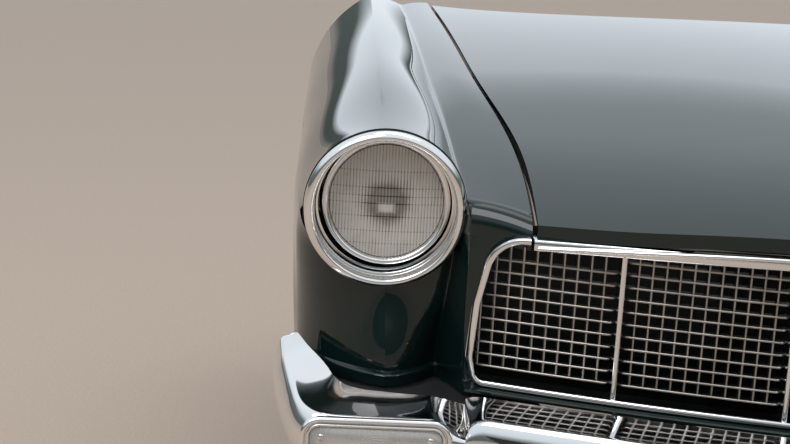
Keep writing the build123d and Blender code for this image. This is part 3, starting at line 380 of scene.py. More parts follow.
def make_world():
    """A plain soft studio: pale all round but for a dark skyline, brighter overhead and behind the car."""
    world = bpy.data.worlds.new("studio")
    bpy.context.scene.world = world
    world.use_nodes = True
    tree = world.node_tree
    space = tree.nodes.new("ShaderNodeTexCoord")
    split = tree.nodes.new("ShaderNodeSeparateXYZ")
    tree.links.new(space.outputs["Generated"], split.inputs["Vector"])
    sky = ramp(tree, spread(tree, split.outputs["Z"], 0.0, 1.0, start=-1.0), SKY)
    behind = Value(tree, split.outputs["Y"]).spread(0.0, 1.0, *BRIGHT_BEHIND)
    strip = ramp(tree, split.outputs["Z"], [(where, (level,) * 3) for where, level in BRIGHT_STRIP])
    share = behind * Value(tree, strip)
    mix = tree.nodes.new("ShaderNodeMix")
    mix.data_type = "RGBA"
    mix.inputs[MIX_SECOND].default_value = (*BRIGHT_COLOR, 1.0)
    tree.links.new(share.socket, mix.inputs[MIX_SHARE])
    tree.links.new(sky, mix.inputs[MIX_FIRST])
    background = tree.nodes["Background"]
    tree.links.new(mix.outputs[MIX_RESULT], background.inputs["Color"])
    tree.links.new((share * BRIGHT_MORE + 1.0).socket, background.inputs["Strength"])


def area_light(name, where, toward, size, power, color=(1.0, 1.0, 1.0)):
    """A soft rectangular lamp, pointing at a place."""
    data = bpy.data.lights.new(name, "AREA")
    data.shape = "RECTANGLE"
    data.size, data.size_y = size
    data.energy = power
    data.color = color
    lamp = bpy.data.objects.new(name, data)
    bpy.context.scene.collection.objects.link(lamp)
    aim = (place(*toward) - place(*where)).to_track_quat("-Z", "Y")
    lamp.matrix_world = Matrix.Translation(place(*where)) @ aim.to_matrix().to_4x4()
    lamp.visible_camera = False


make_floor()
make_world()
area_light("key", (-2500, -3500, 4200), (-500, -1500, 600), (2.5, 2.5), 75)
area_light("over", (400, -300, 7500), (0, -1000, 700), (5.0, 3.0), 70, (0.93, 0.96, 1.0))

bpy.context.scene.view_settings.view_transform = "Standard"

# Both sides of the car, and what x, y and z are multiplied by on each
SIDES = (("left", np.array([1.0, 1.0, 1.0])), ("right", np.array([-1.0, 1.0, 1.0])))


# Shapes: curves and grids of points, as arrays of x, y and height above the road in millimetres
def to_scene(points):
    """Points in millimetres above the road as scene coordinates."""
    moved = np.array(points, float) * MM
    moved[..., 2] -= ORIGIN_HEIGHT * MM
    return moved


def through(places, values, wanted):
    """Values at the wanted places, on a smooth curve through the given ones (a natural cubic)."""
    places = np.asarray(places, float)
    values = np.asarray(values, float)
    wanted = np.asarray(wanted, float)
    steps = np.diff(places)
    rises = np.diff(values, axis=0)
    count = len(places)
    system = np.eye(count)
    right = np.zeros_like(values)
    for row in range(1, count - 1):
        system[row, row - 1:row + 2] = steps[row - 1], 2 * (steps[row - 1] + steps[row]), steps[row]
        right[row] = 6 * (rises[row] / steps[row] - rises[row - 1] / steps[row - 1])
    bends = np.linalg.solve(system, right)
    spans = np.clip(np.searchsorted(places, wanted) - 1, 0, count - 2)
    width = steps[spans]
    after = wanted - places[spans]
    before = places[spans + 1] - wanted
    if values.ndim > 1:
        width, after, before = width[:, None], after[:, None], before[:, None]
    low, high = values[spans], values[spans + 1]
    bend_low, bend_high = bends[spans], bends[spans + 1]
    return (bend_low * before ** 3 + bend_high * after ** 3) / (6 * width) + (
        low / width - bend_low * width / 6) * before + (high / width - bend_high * width / 6) * after


def ease(share):
    """A share from 0 to 1, with a level start and end."""
    share = np.clip(share, 0.0, 1.0)
    return share * share * (3 - 2 * share)


def arc(start, middle, end, count):
    """Points of the circle through three points of a plane, from start to end."""
    (ax, ay), (bx, by), (cx, cy) = start, middle, end
    a, b, c = ax ** 2 + ay ** 2, bx ** 2 + by ** 2, cx ** 2 + cy ** 2
    double = 2 * (ax * (by - cy) + bx * (cy - ay) + cx * (ay - by))
    ux = (a * (by - cy) + b * (cy - ay) + c * (ay - by)) / double
    uy = (a * (cx - bx) + b * (ax - cx) + c * (bx - ax)) / double
    radius = np.hypot(ax - ux, ay - uy)
    first = np.arctan2(ay - uy, ax - ux)
    halfway = (np.arctan2(by - uy, bx - ux) - first) % (2 * pi)
    turn = (np.arctan2(cy - uy, cx - ux) - first) % (2 * pi)
    if halfway > turn:
        turn -= 2 * pi
    angles = first + turn * np.linspace(0, 1, count)
    return np.stack([ux + radius * np.cos(angles), uy + radius * np.sin(angles)], axis=1)


def lengths_along(points):
    """How far each point of a line is from its first one, along the line."""
    return np.concatenate([[0.0], np.cumsum(np.linalg.norm(np.diff(points, axis=0), axis=1))])


def columns_at(wanted, places, table):
    """Every column of a table at the wanted places, on straight lines between the given ones."""
    return np.stack([np.interp(wanted, places, column) for column in np.transpose(table)], axis=1)


def beside(line):
    """Unit vectors at right angles to a line in a plane, to the right of its run."""
    along = np.gradient(line, axis=0)
    along /= np.linalg.norm(along, axis=1)[:, None]
    return np.stack([along[:, 1], -along[:, 0]], axis=1)


def around(count):
    """Evenly spaced angles of a full turn."""
    return np.linspace(0, 2 * pi, count + 1)[:-1]


def even(points, count):
    """A line of points spaced evenly along its length."""
    lengths = lengths_along(points)
    return columns_at(np.linspace(0, lengths[-1], count), lengths, points)


def softened(points, reach):
    """An evenly spaced line with its corners rounded over a number of points, its ends kept."""
    weights = np.hanning(2 * reach + 3)[1:-1]
    weights /= weights.sum()
    start = 2 * points[0] - points[reach:0:-1]
    end = 2 * points[-1] - points[-2:-reach - 2:-1]
    padded = np.concatenate([start, points, end])
    return np.stack([np.convolve(column, weights, "valid") for column in padded.T], axis=1)


def smooth_profile(points, count):
    """A profile drawn as a smooth curve through its points."""
    lengths = lengths_along(points)
    return through(lengths, points, np.linspace(0, lengths[-1], count))


def filleted(corners, radii, count):
    """A closed outline with its corners rounded, each by its own radius."""
    corners = np.asarray(corners, float)
    line = []
    for index, radius in enumerate(radii):
        corner = corners[index]
        into = corners[index - 1] - corner
        out = corners[(index + 1) % len(corners)] - corner
        into /= np.linalg.norm(into)
        out /= np.linalg.norm(out)
        half = np.arccos(np.clip(np.dot(into, out), -1, 1)) / 2
        reach = radius / tan(half)
        middle = corner + (into + out) / np.linalg.norm(into + out) * (radius / sin(half) - radius)
        line.extend(arc(corner + into * reach, middle, corner + out * reach, count))
    return np.array(line)


MERGE_DISTANCE = 0.00002
SMALLEST_EDGE = 0.00001


class Piece:
    """One object made of grids of points, given its material, by a slot's name or directly, and its body at
    the end.
    """

    def __init__(self, name):
        self.name = name
        self.points = []
        self.faces = []
        self.marks = []

    def grid(self, points, across=False, mark=0):
        """Adds a grid of points; across joins its last column to its first."""
        points = np.asarray(points, float)
        rows, columns = points.shape[:2]
        start = sum(len(block) for block in self.points)
        self.points.append(to_scene(points).reshape(-1, 3))
        for row in range(start, start + (rows - 1) * columns, columns):
            below = row + columns
            for column in range(columns if across else columns - 1):
                following = (column + 1) % columns
                self.faces.append((row + column, row + following, below + following, below + column))
                self.marks.append(mark)

    def cap(self, outline):
        """Adds one flat face inside an outline."""
        start = sum(len(block) for block in self.points)
        self.points.append(to_scene(outline).reshape(-1, 3))
        self.faces.append(tuple(range(start, start + len(outline))))
        self.marks.append(0)

    def beam(self, rows):
        """Adds a bar from rows along it, the last row on the first, with a cap at each end."""
        rows = np.array(rows)
        self.grid(rows)
        self.cap(rows[:-1, 0])
        self.cap(rows[:-1, -1])

    def tube(self, sections):
        """Adds a bar through its sections, with a cap at each end."""
        self.grid(sections, across=True)
        self.cap(sections[0])
        self.cap(sections[-1])

    def make(self, slot, sharp, body="front_end", replaces=(), thickness=0.0, materials=None):
        """Builds the object, with smooth shading but for edges sharper than the angle."""
        mesh = bpy.data.meshes.new(self.name)
        mesh.from_pydata([tuple(point) for point in np.concatenate(self.points)], [], self.faces)
        work = bmesh.new()
        work.from_mesh(mesh)
        for face, mark in zip(work.faces, self.marks):
            face.material_index = mark
        bmesh.ops.remove_doubles(work, verts=work.verts, dist=MERGE_DISTANCE)
        bmesh.ops.dissolve_degenerate(work, edges=work.edges, dist=SMALLEST_EDGE)
        bmesh.ops.recalc_face_normals(work, faces=work.faces)
        for face in work.faces:
            face.smooth = True
        work.to_mesh(mesh)
        work.free()
        thing = bpy.data.objects.new(self.name, mesh)
        bpy.context.scene.collection.objects.link(thing)
        for material in materials or [MATERIALS[slot]]:
            mesh.materials.append(material)
        mesh.set_sharp_from_angle(angle=radians(sharp))
        if thickness:
            wall = thing.modifiers.new("wall", "SOLIDIFY")
            wall.thickness = thickness * MM
            wall.offset = -1.0
            wall.use_even_offset = False
        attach(thing, body)
        for node in replaces:
            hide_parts(node)


# Fender: the same stations as the solids, from the rear to past the nose
FENDER_STATIONS = [
    # y, gap x, gap z, valley x, valley z, swell x, swell z, crown x, crown z, side x, side z, foot x
    (0, 711, 917, 772, 909, 806, 921, 846, 928, 984, 700, 956),
    (-360, 695, 898, 760, 889, 799, 910, 846, 923, 982, 692, 952),
    (-720, 680, 875, 751, 864, 792, 895, 846, 915, 980, 687, 948),
    (-1060, 663, 846, 743, 834, 782, 874, 845, 902, 976, 685, 944),
    (-1380, 638, 809, 733, 801, 768, 852, 844, 882, 973, 690, 938),
    (-1640, 627, 765, 725, 764, 756, 824, 842, 858, 961, 712, 930),
    (-1790, 628, 731, 722, 742, 751, 816, 841, 849, 951, 733, 926),
]
FENDER_FOOT = 262.0
AXLE_Y = -1060.0
ARCH_HEIGHT = 345.0
ARCH_RADIUS = 350.0
LAMP_X = 834.0
LAMP_HEIGHT = 735.0
BEZEL_Y = -1712.0
BEZEL_TILT = radians(7.5)
POD_RADIUS = 118.0
RIM_CUT = 110.0
COLLAR_BLEND = 70.0
# How the valley's curve leaves the chin's nose and comes to the valley, in plan
VALLEY_LEAVE = (-40.0, 8.0)
VALLEY_COME = (20.0, -22.0)
CHIN_REAR_Y = -1500.0
FENDER_NOSE_Y = -1790.0
CATWALK_RISE = 3.0
POCKET_TOP = 474.0
BEVEL_HEIGHT = 22.0
# Steps of the ledge: share of its width, and how far below the chin
LEDGE_STEPS = [(0.15, 0.6), (0.5, 2.2), (0.85, 4.0), (1.0, 5.6), (1.0, 9.0), (1.0, 20.0), (0.8, BEVEL_HEIGHT)]
LEDGE_SIDE = 2.0
LEDGE_NOSE = 9.0
LEDGE_SPREAD = 70.0
LEDGE_START = 40.0
LEDGE_REAR_Y = CHIN_REAR_Y - 90.0
PANEL_CORNER = (712.0, -1740.0)
CATWALK_EDGE_X = PANEL_CORNER[0] + 4.0
PANEL_SLOPE = (1776.5 - 1740.0) / (712.0 - 625.0)
PANEL_FILLET = 32.0
CHIN_SECTIONS = [
    # z, side x, y where the corner starts, nose x, nose y, valley x, valley y
    (474, 955, -1553, 823, -1718, 749, -1656),
    (496, 956, -1545, 823, -1720, 748, -1656),
    (618, 961, -1575, 829, -1699, 736, -1682),
    (680, 962, -1630, 832, -1705, 730, -1692),
    (735, 961, -1690, 834, -1712, 726, -1702),
]
STATION_TABLE = np.array(FENDER_STATIONS, float)
CHIN_TABLE = np.array(CHIN_SECTIONS, float)
# Counts of the fender's rows and columns
CATWALK_COLUMNS = 16
CROWN_COLUMNS = 44
SHOULDER_COLUMNS = 40
REAR_ROWS = 60
ARCH_ROWS = 48
FRONT_ROWS = 56
FRONT_STATIONS = 88
SIDE_COLUMNS = 36
INNER_ROWS = 60
INNER_COLUMNS = 90
# Points of a section and of a level of the chin, and over how many of them their corners are rounded
SECTION_POINTS = 160
SECTION_ROUND = 9
CHIN_POINTS = 240
CHIN_ROUND = 12


def station(y):
    """The fender's section values at y, smooth between the stations."""
    return through(-STATION_TABLE[:, 0], STATION_TABLE[:, 1:], [-y])[0]


def tangent_arc(start, end, count):
    """Points of the arc that leaves start upright and ends at end."""
    dx, dz = end[0] - start[0], end[1] - start[1]
    radius = (dx * dx + dz * dz) / (2 * dx)
    turns = np.linspace(0, 2 * np.arctan2(abs(dx), abs(dz)), count)
    return np.stack([start[0] + radius * (1 - np.cos(turns)),
                     start[1] + np.sign(dz) * abs(radius) * np.sin(turns)], axis=1)


def side_x(y, z):
    """How far out the fender's side is at y and z, below its crown."""
    crown_x, crown_z, widest, level, foot = station(y)[6:]
    rise = level - FENDER_FOOT if z < level else crown_z - level
    inward = widest - foot if z < level else widest - crown_x
    radius = (inward ** 2 + rise ** 2) / (2 * inward)
    return widest - (radius - np.sqrt(radius ** 2 - (level - z) ** 2))


def upper_section(y):
    """The section from the hood gap over the crown and down the side to the lamp's middle."""
    gap_x, gap_z, valley_x, valley_z, swell_x, swell_z, crown_x, crown_z, wide_x, wide_z = station(y)[:10]
    valley, crown = (valley_x, valley_z), (crown_x, crown_z)
    dip = ((gap_x + valley_x) / 2, (gap_z + valley_z) / 2 + CATWALK_RISE)
    catwalk = arc((gap_x, gap_z), dip, valley, 40)[:-1]
    inner = np.concatenate([catwalk, arc(valley, (swell_x, swell_z), crown, 60)])
    inner = softened(even(inner, SECTION_POINTS), SECTION_ROUND)
    outer = tangent_arc((wide_x, wide_z), crown, 200)[::-1]
    if wide_z < LAMP_HEIGHT:
        outer = outer[outer[:, 1] >= LAMP_HEIGHT]
    elif wide_z > LAMP_HEIGHT:
        outer = np.append(outer, [(side_x(y, LAMP_HEIGHT), LAMP_HEIGHT)], axis=0)
    return np.concatenate([even(inner, CATWALK_COLUMNS + CROWN_COLUMNS), even(outer, SHOULDER_COLUMNS)[1:]])


def bezel_y(z):
    """Where the bezel's plane is at a height."""
    return BEZEL_Y - (z - LAMP_HEIGHT) * tan(BEZEL_TILT)


def panel_y(x):
    """The panel beside the grille in plan."""
    return PANEL_CORNER[1] - PANEL_SLOPE * (PANEL_CORNER[0] - x)


def chin_values(z):
    """The chin's plan values at a height."""
    return through(CHIN_TABLE[:, 0], CHIN_TABLE[:, 1:], [z])[0]


def bezier(points, count):
    """Points of a cubic curve with its four control points."""
    share = np.linspace(0, 1, count)[:, None]
    a, b, c, d = points
    rest = 1 - share
    return a * rest ** 3 + 3 * b * share * rest ** 2 + 3 * c * share ** 2 * rest + d * share ** 3


def rim_x(z):
    """Half the width of the opening behind the bezel at a height, or 0 below it."""
    return np.sqrt(max(RIM_CUT ** 2 - (z - LAMP_HEIGHT) ** 2, 0.0))


def corner_curve(z, count):
    """The chin's plan from the side round the corner to the prow's crease, or to the bezel's rim above it."""
    side, corner_y, nose_x, nose_y = chin_values(z)[:4]
    start = np.array([side_x(CHIN_REAR_Y, z), CHIN_REAR_Y])
    corner = np.array([side, corner_y])
    heading = (corner - start) / np.linalg.norm(corner - start)
    chord = np.array([nose_x, nose_y]) - corner
    angle = np.arccos(np.clip(np.dot(heading, chord) / np.linalg.norm(chord), -1, 1))
    radius = np.linalg.norm(chord) / (2 * sin(angle))
    middle = corner + radius * np.array([heading[1], -heading[0]])
    first = np.arctan2(corner[1] - middle[1], corner[0] - middle[0])
    turns = np.linspace(first, first - 2 * angle, 160)
    line = np.concatenate([[start], middle + radius * np.stack([np.cos(turns), np.sin(turns)], axis=1)])
    half = rim_x(z)
    if half:
        inside = line[:, 0] < LAMP_X + half
        cut = int(np.argmax(inside)) if inside.any() else len(line)
        line = np.concatenate([line[:cut], [(LAMP_X + half, line[cut - 1][1])]])
    return even(line, count)


def straight_side(z, count):
    """The side carried straight forward to the bezel's plane."""
    ends = np.linspace(CHIN_REAR_Y, bezel_y(z), count)
    return np.array([(side_x(y, z), y) for y in ends])


def outer_row(z, count):
    """One level of the chin's outer half."""
    share = float(ease((LAMP_HEIGHT - z) / COLLAR_BLEND))
    return straight_side(z, count) * (1 - share) + corner_curve(z, count) * share


GRILLE_BOTTOM = 490.0
GRILLE_TOP = 717.0
GRILLE_HALF_FOOT = 700.0
GRILLE_WAIST = 530.0
GRILLE_HALF_WAIST = 709.0
GRILLE_SHOULDER = 614.0
GRILLE_HALF_SHOULDER = 703.0
GRILLE_HALF_TOP = 682.0
GRILLE_CORNER = 58.0
GRILLE_FOOT_CORNER = 22.0
GRILLE_SIDE_ROUND = 60.0
PANEL_GAP_X = 628.0


def grille_outline(inset, count):
    """The grille's front outline, x and height, moved in by inset."""
    bottom, top = GRILLE_BOTTOM + inset, GRILLE_TOP - inset
    half = [(GRILLE_HALF_FOOT - inset, bottom), (GRILLE_HALF_WAIST - inset, GRILLE_WAIST),
            (GRILLE_HALF_SHOULDER - inset, GRILLE_SHOULDER), (GRILLE_HALF_TOP - inset, top)]
    corners = half + [(-x, z) for x, z in reversed(half)]
    radii = [GRILLE_FOOT_CORNER, GRILLE_SIDE_ROUND, GRILLE_SIDE_ROUND, GRILLE_CORNER]
    return filleted(corners, radii + radii[::-1], count)


def outline_side(inset, count):
    """The outline's left half, x and height, from its foot up."""
    outline = grille_outline(inset, count)
    half = outline[outline[:, 0] > 0]
    return half[np.argsort(half[:, 1])]


PANEL_EDGE = outline_side(-0.5, 14)


def panel_end_x(z):
    """Where the panel beside the grille ends at a height."""
    if z > GRILLE_TOP:
        return PANEL_GAP_X
    return float(np.interp(z, PANEL_EDGE[:, 1], PANEL_EDGE[:, 0]))


def inner_row(z, count):
    """One level from the prow's crease, or the rim, by the valley to the edge of the panel."""
    values = chin_values(z)
    nose, valley = values[2:4], values[4:]
    half = rim_x(z)
    flank = bezier([nose, nose + VALLEY_LEAVE, valley + VALLEY_COME, valley], 60)
    if half:
        rim = LAMP_X - half
        flank = flank[flank[:, 0] < rim]
        flank = np.concatenate([[(rim, flank[0][1] if len(flank) else bezel_y(z))], flank])
    end_x = panel_end_x(z)
    line = np.concatenate([flank, [PANEL_CORNER, (end_x, panel_y(end_x))]])
    kept = np.round(np.linspace(0, CHIN_POINTS - 1, count)).astype(int)
    return softened(even(line, CHIN_POINTS), CHIN_ROUND)[kept]


def chin_foot(row):
    """Rows of the ledge and flange along the chin's foot; the row's crease end is its last point."""
    out = beside(row[:, :2])
    away = row[:, :2] - np.array([LAMP_X, CHIN_REAR_Y])
    out *= np.sign(np.sum(out * away, axis=1))[:, None]
    near = np.exp(-((row[:, 0] - row[-1, 0]) / LEDGE_SPREAD) ** 2)
    near = (near * (row[:, 1] < LEDGE_REAR_Y))[:, None]
    out = out * (1 - near) + np.array([0.0, -1.0]) * near
    out /= np.linalg.norm(out, axis=1)[:, None]
    gone = lengths_along(row[:, :2])[:, None]
    width = (LEDGE_SIDE + (LEDGE_NOSE - LEDGE_SIDE) * near) * ease(gone / LEDGE_START)
    steps = []
    for share, fall in LEDGE_STEPS:
        lower = row.copy()
        lower[:, :2] += out * width * share
        lower[:, 2] -= fall
        steps.append(lower)
    return steps


def fender_points():
    """The grids of the left fender's top and of its side round the lamp, and the side's levels."""
    rear = [[(x, y, z) for x, z in upper_section(y)] for y in np.linspace(0.0, CHIN_REAR_Y, REAR_ROWS)]
    dense = np.linspace(CHIN_REAR_Y, FENDER_NOSE_Y, FRONT_STATIONS)
    table = np.array([upper_section(y) for y in dense])
    front = np.empty((FRONT_ROWS, table.shape[1], 3))
    share = np.linspace(0, 1, FRONT_ROWS) ** 3
    for column in range(table.shape[1]):
        x_line, z_line = table[:, column].T
        ends = np.where(x_line < CATWALK_EDGE_X, panel_y(x_line) + PANEL_FILLET, bezel_y(z_line))
        passed = dense - ends
        last = float(np.interp(0.0, -passed, dense)) if passed[-1] < 0 else FENDER_NOSE_Y
        places = np.linspace(CHIN_REAR_Y, last, FRONT_ROWS)
        front[:, column, 0] = np.interp(-places, -dense, x_line)
        front[:, column, 1] = places
        front[:, column, 2] = np.interp(-places, -dense, z_line)
        # The pod's end closes in on the bezel's seat
        if front[-1, column, 0] >= CATWALK_EDGE_X:
            away = front[-1, column, [0, 2]] - [LAMP_X, LAMP_HEIGHT]
            move = away / np.linalg.norm(away) * POD_RADIUS - away
            front[:, column, 0] += share * move[0]
            front[:, column, 2] += share * move[1]
    upper = np.concatenate([np.array(rear), front[1:]])
    levels = np.linspace(LAMP_HEIGHT, POCKET_TOP + BEVEL_HEIGHT, SIDE_COLUMNS)
    outer = np.array([[(x, y, z) for x, y in outer_row(z, FRONT_ROWS)] for z in levels])
    outer[0] = upper[-FRONT_ROWS:, -1]
    outer = np.concatenate([outer, chin_foot(outer[-1])])
    # The catwalk's end turns down to the panel
    catwalk = upper[-1][:, 0] < CATWALK_EDGE_X
    corner = []
    for turn in np.linspace(0, pi / 2, 13)[1:]:
        row = upper[-1].copy()
        row[catwalk, 1] -= PANEL_FILLET * sin(turn)
        row[catwalk, 2] -= PANEL_FILLET * (1 - cos(turn))
        corner.append(row)
    return np.concatenate([upper, corner]), outer, levels


FLANGE_WIDTH = 64.0
FLANGE_TOP = 842.0
FLANGE_WALL = 4.0
# Turned edges as steps inwards and away: round the wheel opening, along the hood gap, behind the bezel
ARCH_LIP = ((0, 0), (2, 3), (8, 4), (24, 4))
ARCH_LIP_FOOT = 4.0
GAP_EDGE = ((0, 0, 0), (-1.0, 0, -1.5), (-1.2, 0, -22.0))
COLLAR = ((5.0, 0.0), (0.8, 0.0), (0.0, 1.0), (0.0, 24.0))


def side_points(levels):
    """The side under the lamp's middle with the wheel opening, and the opening's rolled lip."""
    rear, front = AXLE_Y + ARCH_RADIUS, AXLE_Y - ARCH_RADIUS
    inside = AXLE_Y - ARCH_RADIUS * np.sin(np.linspace(-pi / 2, pi / 2, ARCH_ROWS))
    arch = [(y, ARCH_HEIGHT + np.sqrt(max(ARCH_RADIUS ** 2 - (y - AXLE_Y) ** 2, 0.0))) for y in inside]
    before = [(y, FENDER_FOOT) for y in np.linspace(0.0, rear, 20)]
    after = [(y, FENDER_FOOT) for y in np.linspace(front, CHIN_REAR_Y, 12)]
    last = levels[-1]
    side = []
    for y, low in before + arch + after:
        shrink = min(1.0, (LAMP_HEIGHT - low) / (LAMP_HEIGHT - last))
        heights = [LAMP_HEIGHT - (LAMP_HEIGHT - z) * shrink for z in levels]
        heights += [last + share * (low - last) if low < last else low for share in np.linspace(0, 1, 24)[1:]]
        side.append([(side_x(y, z), y, z) for z in heights])
    low = FENDER_FOOT + ARCH_LIP_FOOT
    line = np.array([(side_x(y, z), y, z) for y, z in [(rear, low), *arch, (front, low)]])
    away = line[:, 1:] - [AXLE_Y, ARCH_HEIGHT]
    away[:, 1] = np.maximum(away[:, 1], 0)
    away /= np.maximum(np.linalg.norm(away, axis=1), 1)[:, None]
    lip = [np.column_stack([line[:, 0] - inward, line[:, 1:] + away * outward])
           for inward, outward in ARCH_LIP]
    return np.array(side), np.array(lip)


def inner_points(end_row):
    """The chin's inner half with its foot, the valley, and the panel up to the catwalk's end."""
    catwalk = end_row[end_row[:, 0] < CATWALK_EDGE_X]
    catwalk = catwalk[np.argsort(catwalk[:, 0])]
    heights = np.linspace(POCKET_TOP + BEVEL_HEIGHT, LAMP_HEIGHT, INNER_ROWS)
    rows = []
    for z in heights:
        line = inner_row(z, INNER_COLUMNS)
        top = np.interp(line[:, 0], catwalk[:, 0], catwalk[:, 2], right=LAMP_HEIGHT)
        share = (z - heights[0]) / (heights[-1] - heights[0])
        level = heights[0] + share * (np.minimum(top, LAMP_HEIGHT) - heights[0])
        rows.append(np.column_stack([line, level]))
    foot = [row[::-1] for row in chin_foot(rows[0][::-1])]
    return np.array(foot[::-1] + rows)


def rear_flange():
    """The flange turned in round the fender's rear end."""
    below = [(side_x(0.0, z), z) for z in np.linspace(LAMP_HEIGHT, FENDER_FOOT, 40)[1:]]
    rim = np.concatenate([upper_section(0.0), below])
    limit = np.array([side_x(0.0, min(z, FLANGE_TOP)) for z in rim[:, 1]]) - FLANGE_WIDTH
    within = np.column_stack([np.minimum(rim[:, 0], limit), np.minimum(rim[:, 1], FLANGE_TOP)])
    return np.array([np.insert(line, 1, y, axis=1) for line, y in
                     ((rim, 0.0), (within, 0.0), (within, -FLANGE_WALL), (rim, -FLANGE_WALL))])


def pod_collar():
    """The collar behind the bezel's rim."""
    turns = around(96)
    rows = []
    for inward, depth in COLLAR:
        radius = POD_RADIUS - inward
        z = LAMP_HEIGHT + radius * np.sin(turns)
        rows.append(np.column_stack([LAMP_X + radius * np.cos(turns), bezel_y(z) + depth, z]))
    return np.array(rows)


def make_fenders():
    """Both fender skins, from the same grids."""
    upper, outer, levels = fender_points()
    side, lip = side_points(levels)
    turned = np.array([upper[:, 0] + step for step in GAP_EDGE])
    grids = (upper, side, outer, inner_points(upper[-1]), lip, turned, rear_flange())
    collar = pod_collar()
    for name, mirror in SIDES:
        piece = Piece(f"fender_skin_{name}")
        for points in grids:
            piece.grid(points * mirror)
        piece.grid(collar * mirror, across=True)
        piece.make("body_paint", replaces=[f"fender_{name}"], sharp=32.0)


make_fenders()


# Hood: a row for each lengthwise curve of its surface
HOOD_STATIONS = [
    # x, lip y, lip z, z at each of the reaches behind the lip, z at the cowl
    (-716, -1758, 727, 750, 794, 856, 916),
    (-360, -1893, 753, 778.5, 820, 881, 936),
    (0, -1965, 757, 784, 828, 890, 944),
    (360, -1893, 753, 778.5, 820, 881, 936),
    (716, -1758, 727, 750, 794, 856, 916),
]
HOOD_REACHES = (90.0, 300.0, 850.0)
# How far the surface is carried on ahead of the lip, and how far it falls there
HOOD_LEAD = (30.0, 10.0)
HOOD_ROUND = 24
HOOD_GAP = 6.0
HOOD_LIP_AHEAD = 17.0
HOOD_LIP_DROP = 20.0
HOOD_REAR_MIDDLE = -400.0
HOOD_REAR_SIDE = -60.0
HOOD_HALF_REAR = 702.0
HOOD_NOSE = [(0, -1965.0), (130, -1952.0), (270, -1919.0), (400, -1881.0), (500, -1847.0), (622, -1790.0)]
HOOD_TABLE_Y = -1990.0
HOOD_TABLE_SIZE = (289, 400)
HOOD_EDGE_ROUND = 3.0
HOOD_HEM_SIDE = 12.0
HOOD_HEM_FRONT = 14.0
GRILLE_LEAN = tan(radians(4.0))
GRILLE_PLAN_MIDDLE = ((0.0, -1948.0), (130.0, -1935.0), (270.0, -1902.0))
GRILLE_PLAN_SIDE = ((270.0, -1902.0), (500.0, -1830.0), (710.0, -1745.0))
PLAN_ROUND = 25


def plan_line():
    """The grille's plan line from right to left, closely spaced."""
    half = np.concatenate([arc(*GRILLE_PLAN_MIDDLE, 80), arc(*GRILLE_PLAN_SIDE, 120)])
    return softened(even(np.concatenate([half[::-1] * [-1.0, 1.0], half]), 600), PLAN_ROUND)


PLAN = plan_line()


def grille_y(x, z):
    """The grille's front surface."""
    return np.interp(x, PLAN[:, 0], PLAN[:, 1]) - (np.asarray(z) - GRILLE_BOTTOM) * GRILLE_LEAN


def hood_height():
    """The hood's surface, as heights on a table of x and y."""
    rows = np.array(HOOD_STATIONS, float)
    wanted = np.linspace(rows[0, 0], rows[-1, 0], HOOD_TABLE_SIZE[0])
    places = np.linspace(HOOD_TABLE_Y, 0, HOOD_TABLE_SIZE[1])
    near, shoulder, middle = HOOD_REACHES
    lead, fall = HOOD_LEAD
    lines = []
    for lip_y, lip_z, near_z, shoulder_z, middle_z, cowl_z in through(rows[:, 0], rows[:, 1:], wanted):
        bend = (lip_y + shoulder, shoulder_z)
        front = arc((lip_y - lead, lip_z - fall), (lip_y + near, near_z), bend, 80)
        rear = arc(bend, (lip_y + middle, middle_z), (0, cowl_z), 160)
        whole = softened(even(np.concatenate([front[:-1], rear]), 400), HOOD_ROUND)
        lines.append(np.interp(places, whole[:, 0], whole[:, 1]))
    return wanted, places, np.array(lines)


HOOD_X, HOOD_Y, HOOD_Z = hood_height()


def hood_z(x, y):
    """Height of the hood's surface at points."""
    across = np.clip((np.asarray(x) - HOOD_X[0]) / (HOOD_X[1] - HOOD_X[0]), 0, len(HOOD_X) - 1.001)
    along = np.clip((np.asarray(y) - HOOD_Y[0]) / (HOOD_Y[1] - HOOD_Y[0]), 0, len(HOOD_Y) - 1.001)
    i, j = across.astype(int), along.astype(int)
    u, v = across - i, along - j
    near = HOOD_Z[i, j] * (1 - u) * (1 - v) + HOOD_Z[i + 1, j] * u * (1 - v)
    return near + HOOD_Z[i, j + 1] * (1 - u) * v + HOOD_Z[i + 1, j + 1] * u * v


HOOD_COLUMNS = 121
HOOD_ROWS = 110
HOOD_HALF_FRONT = 628.0
# Half the width at which the search for the hood's edge starts, and its passes
HOOD_HALF_START = 700.0
HOOD_EDGE_PASSES = 4


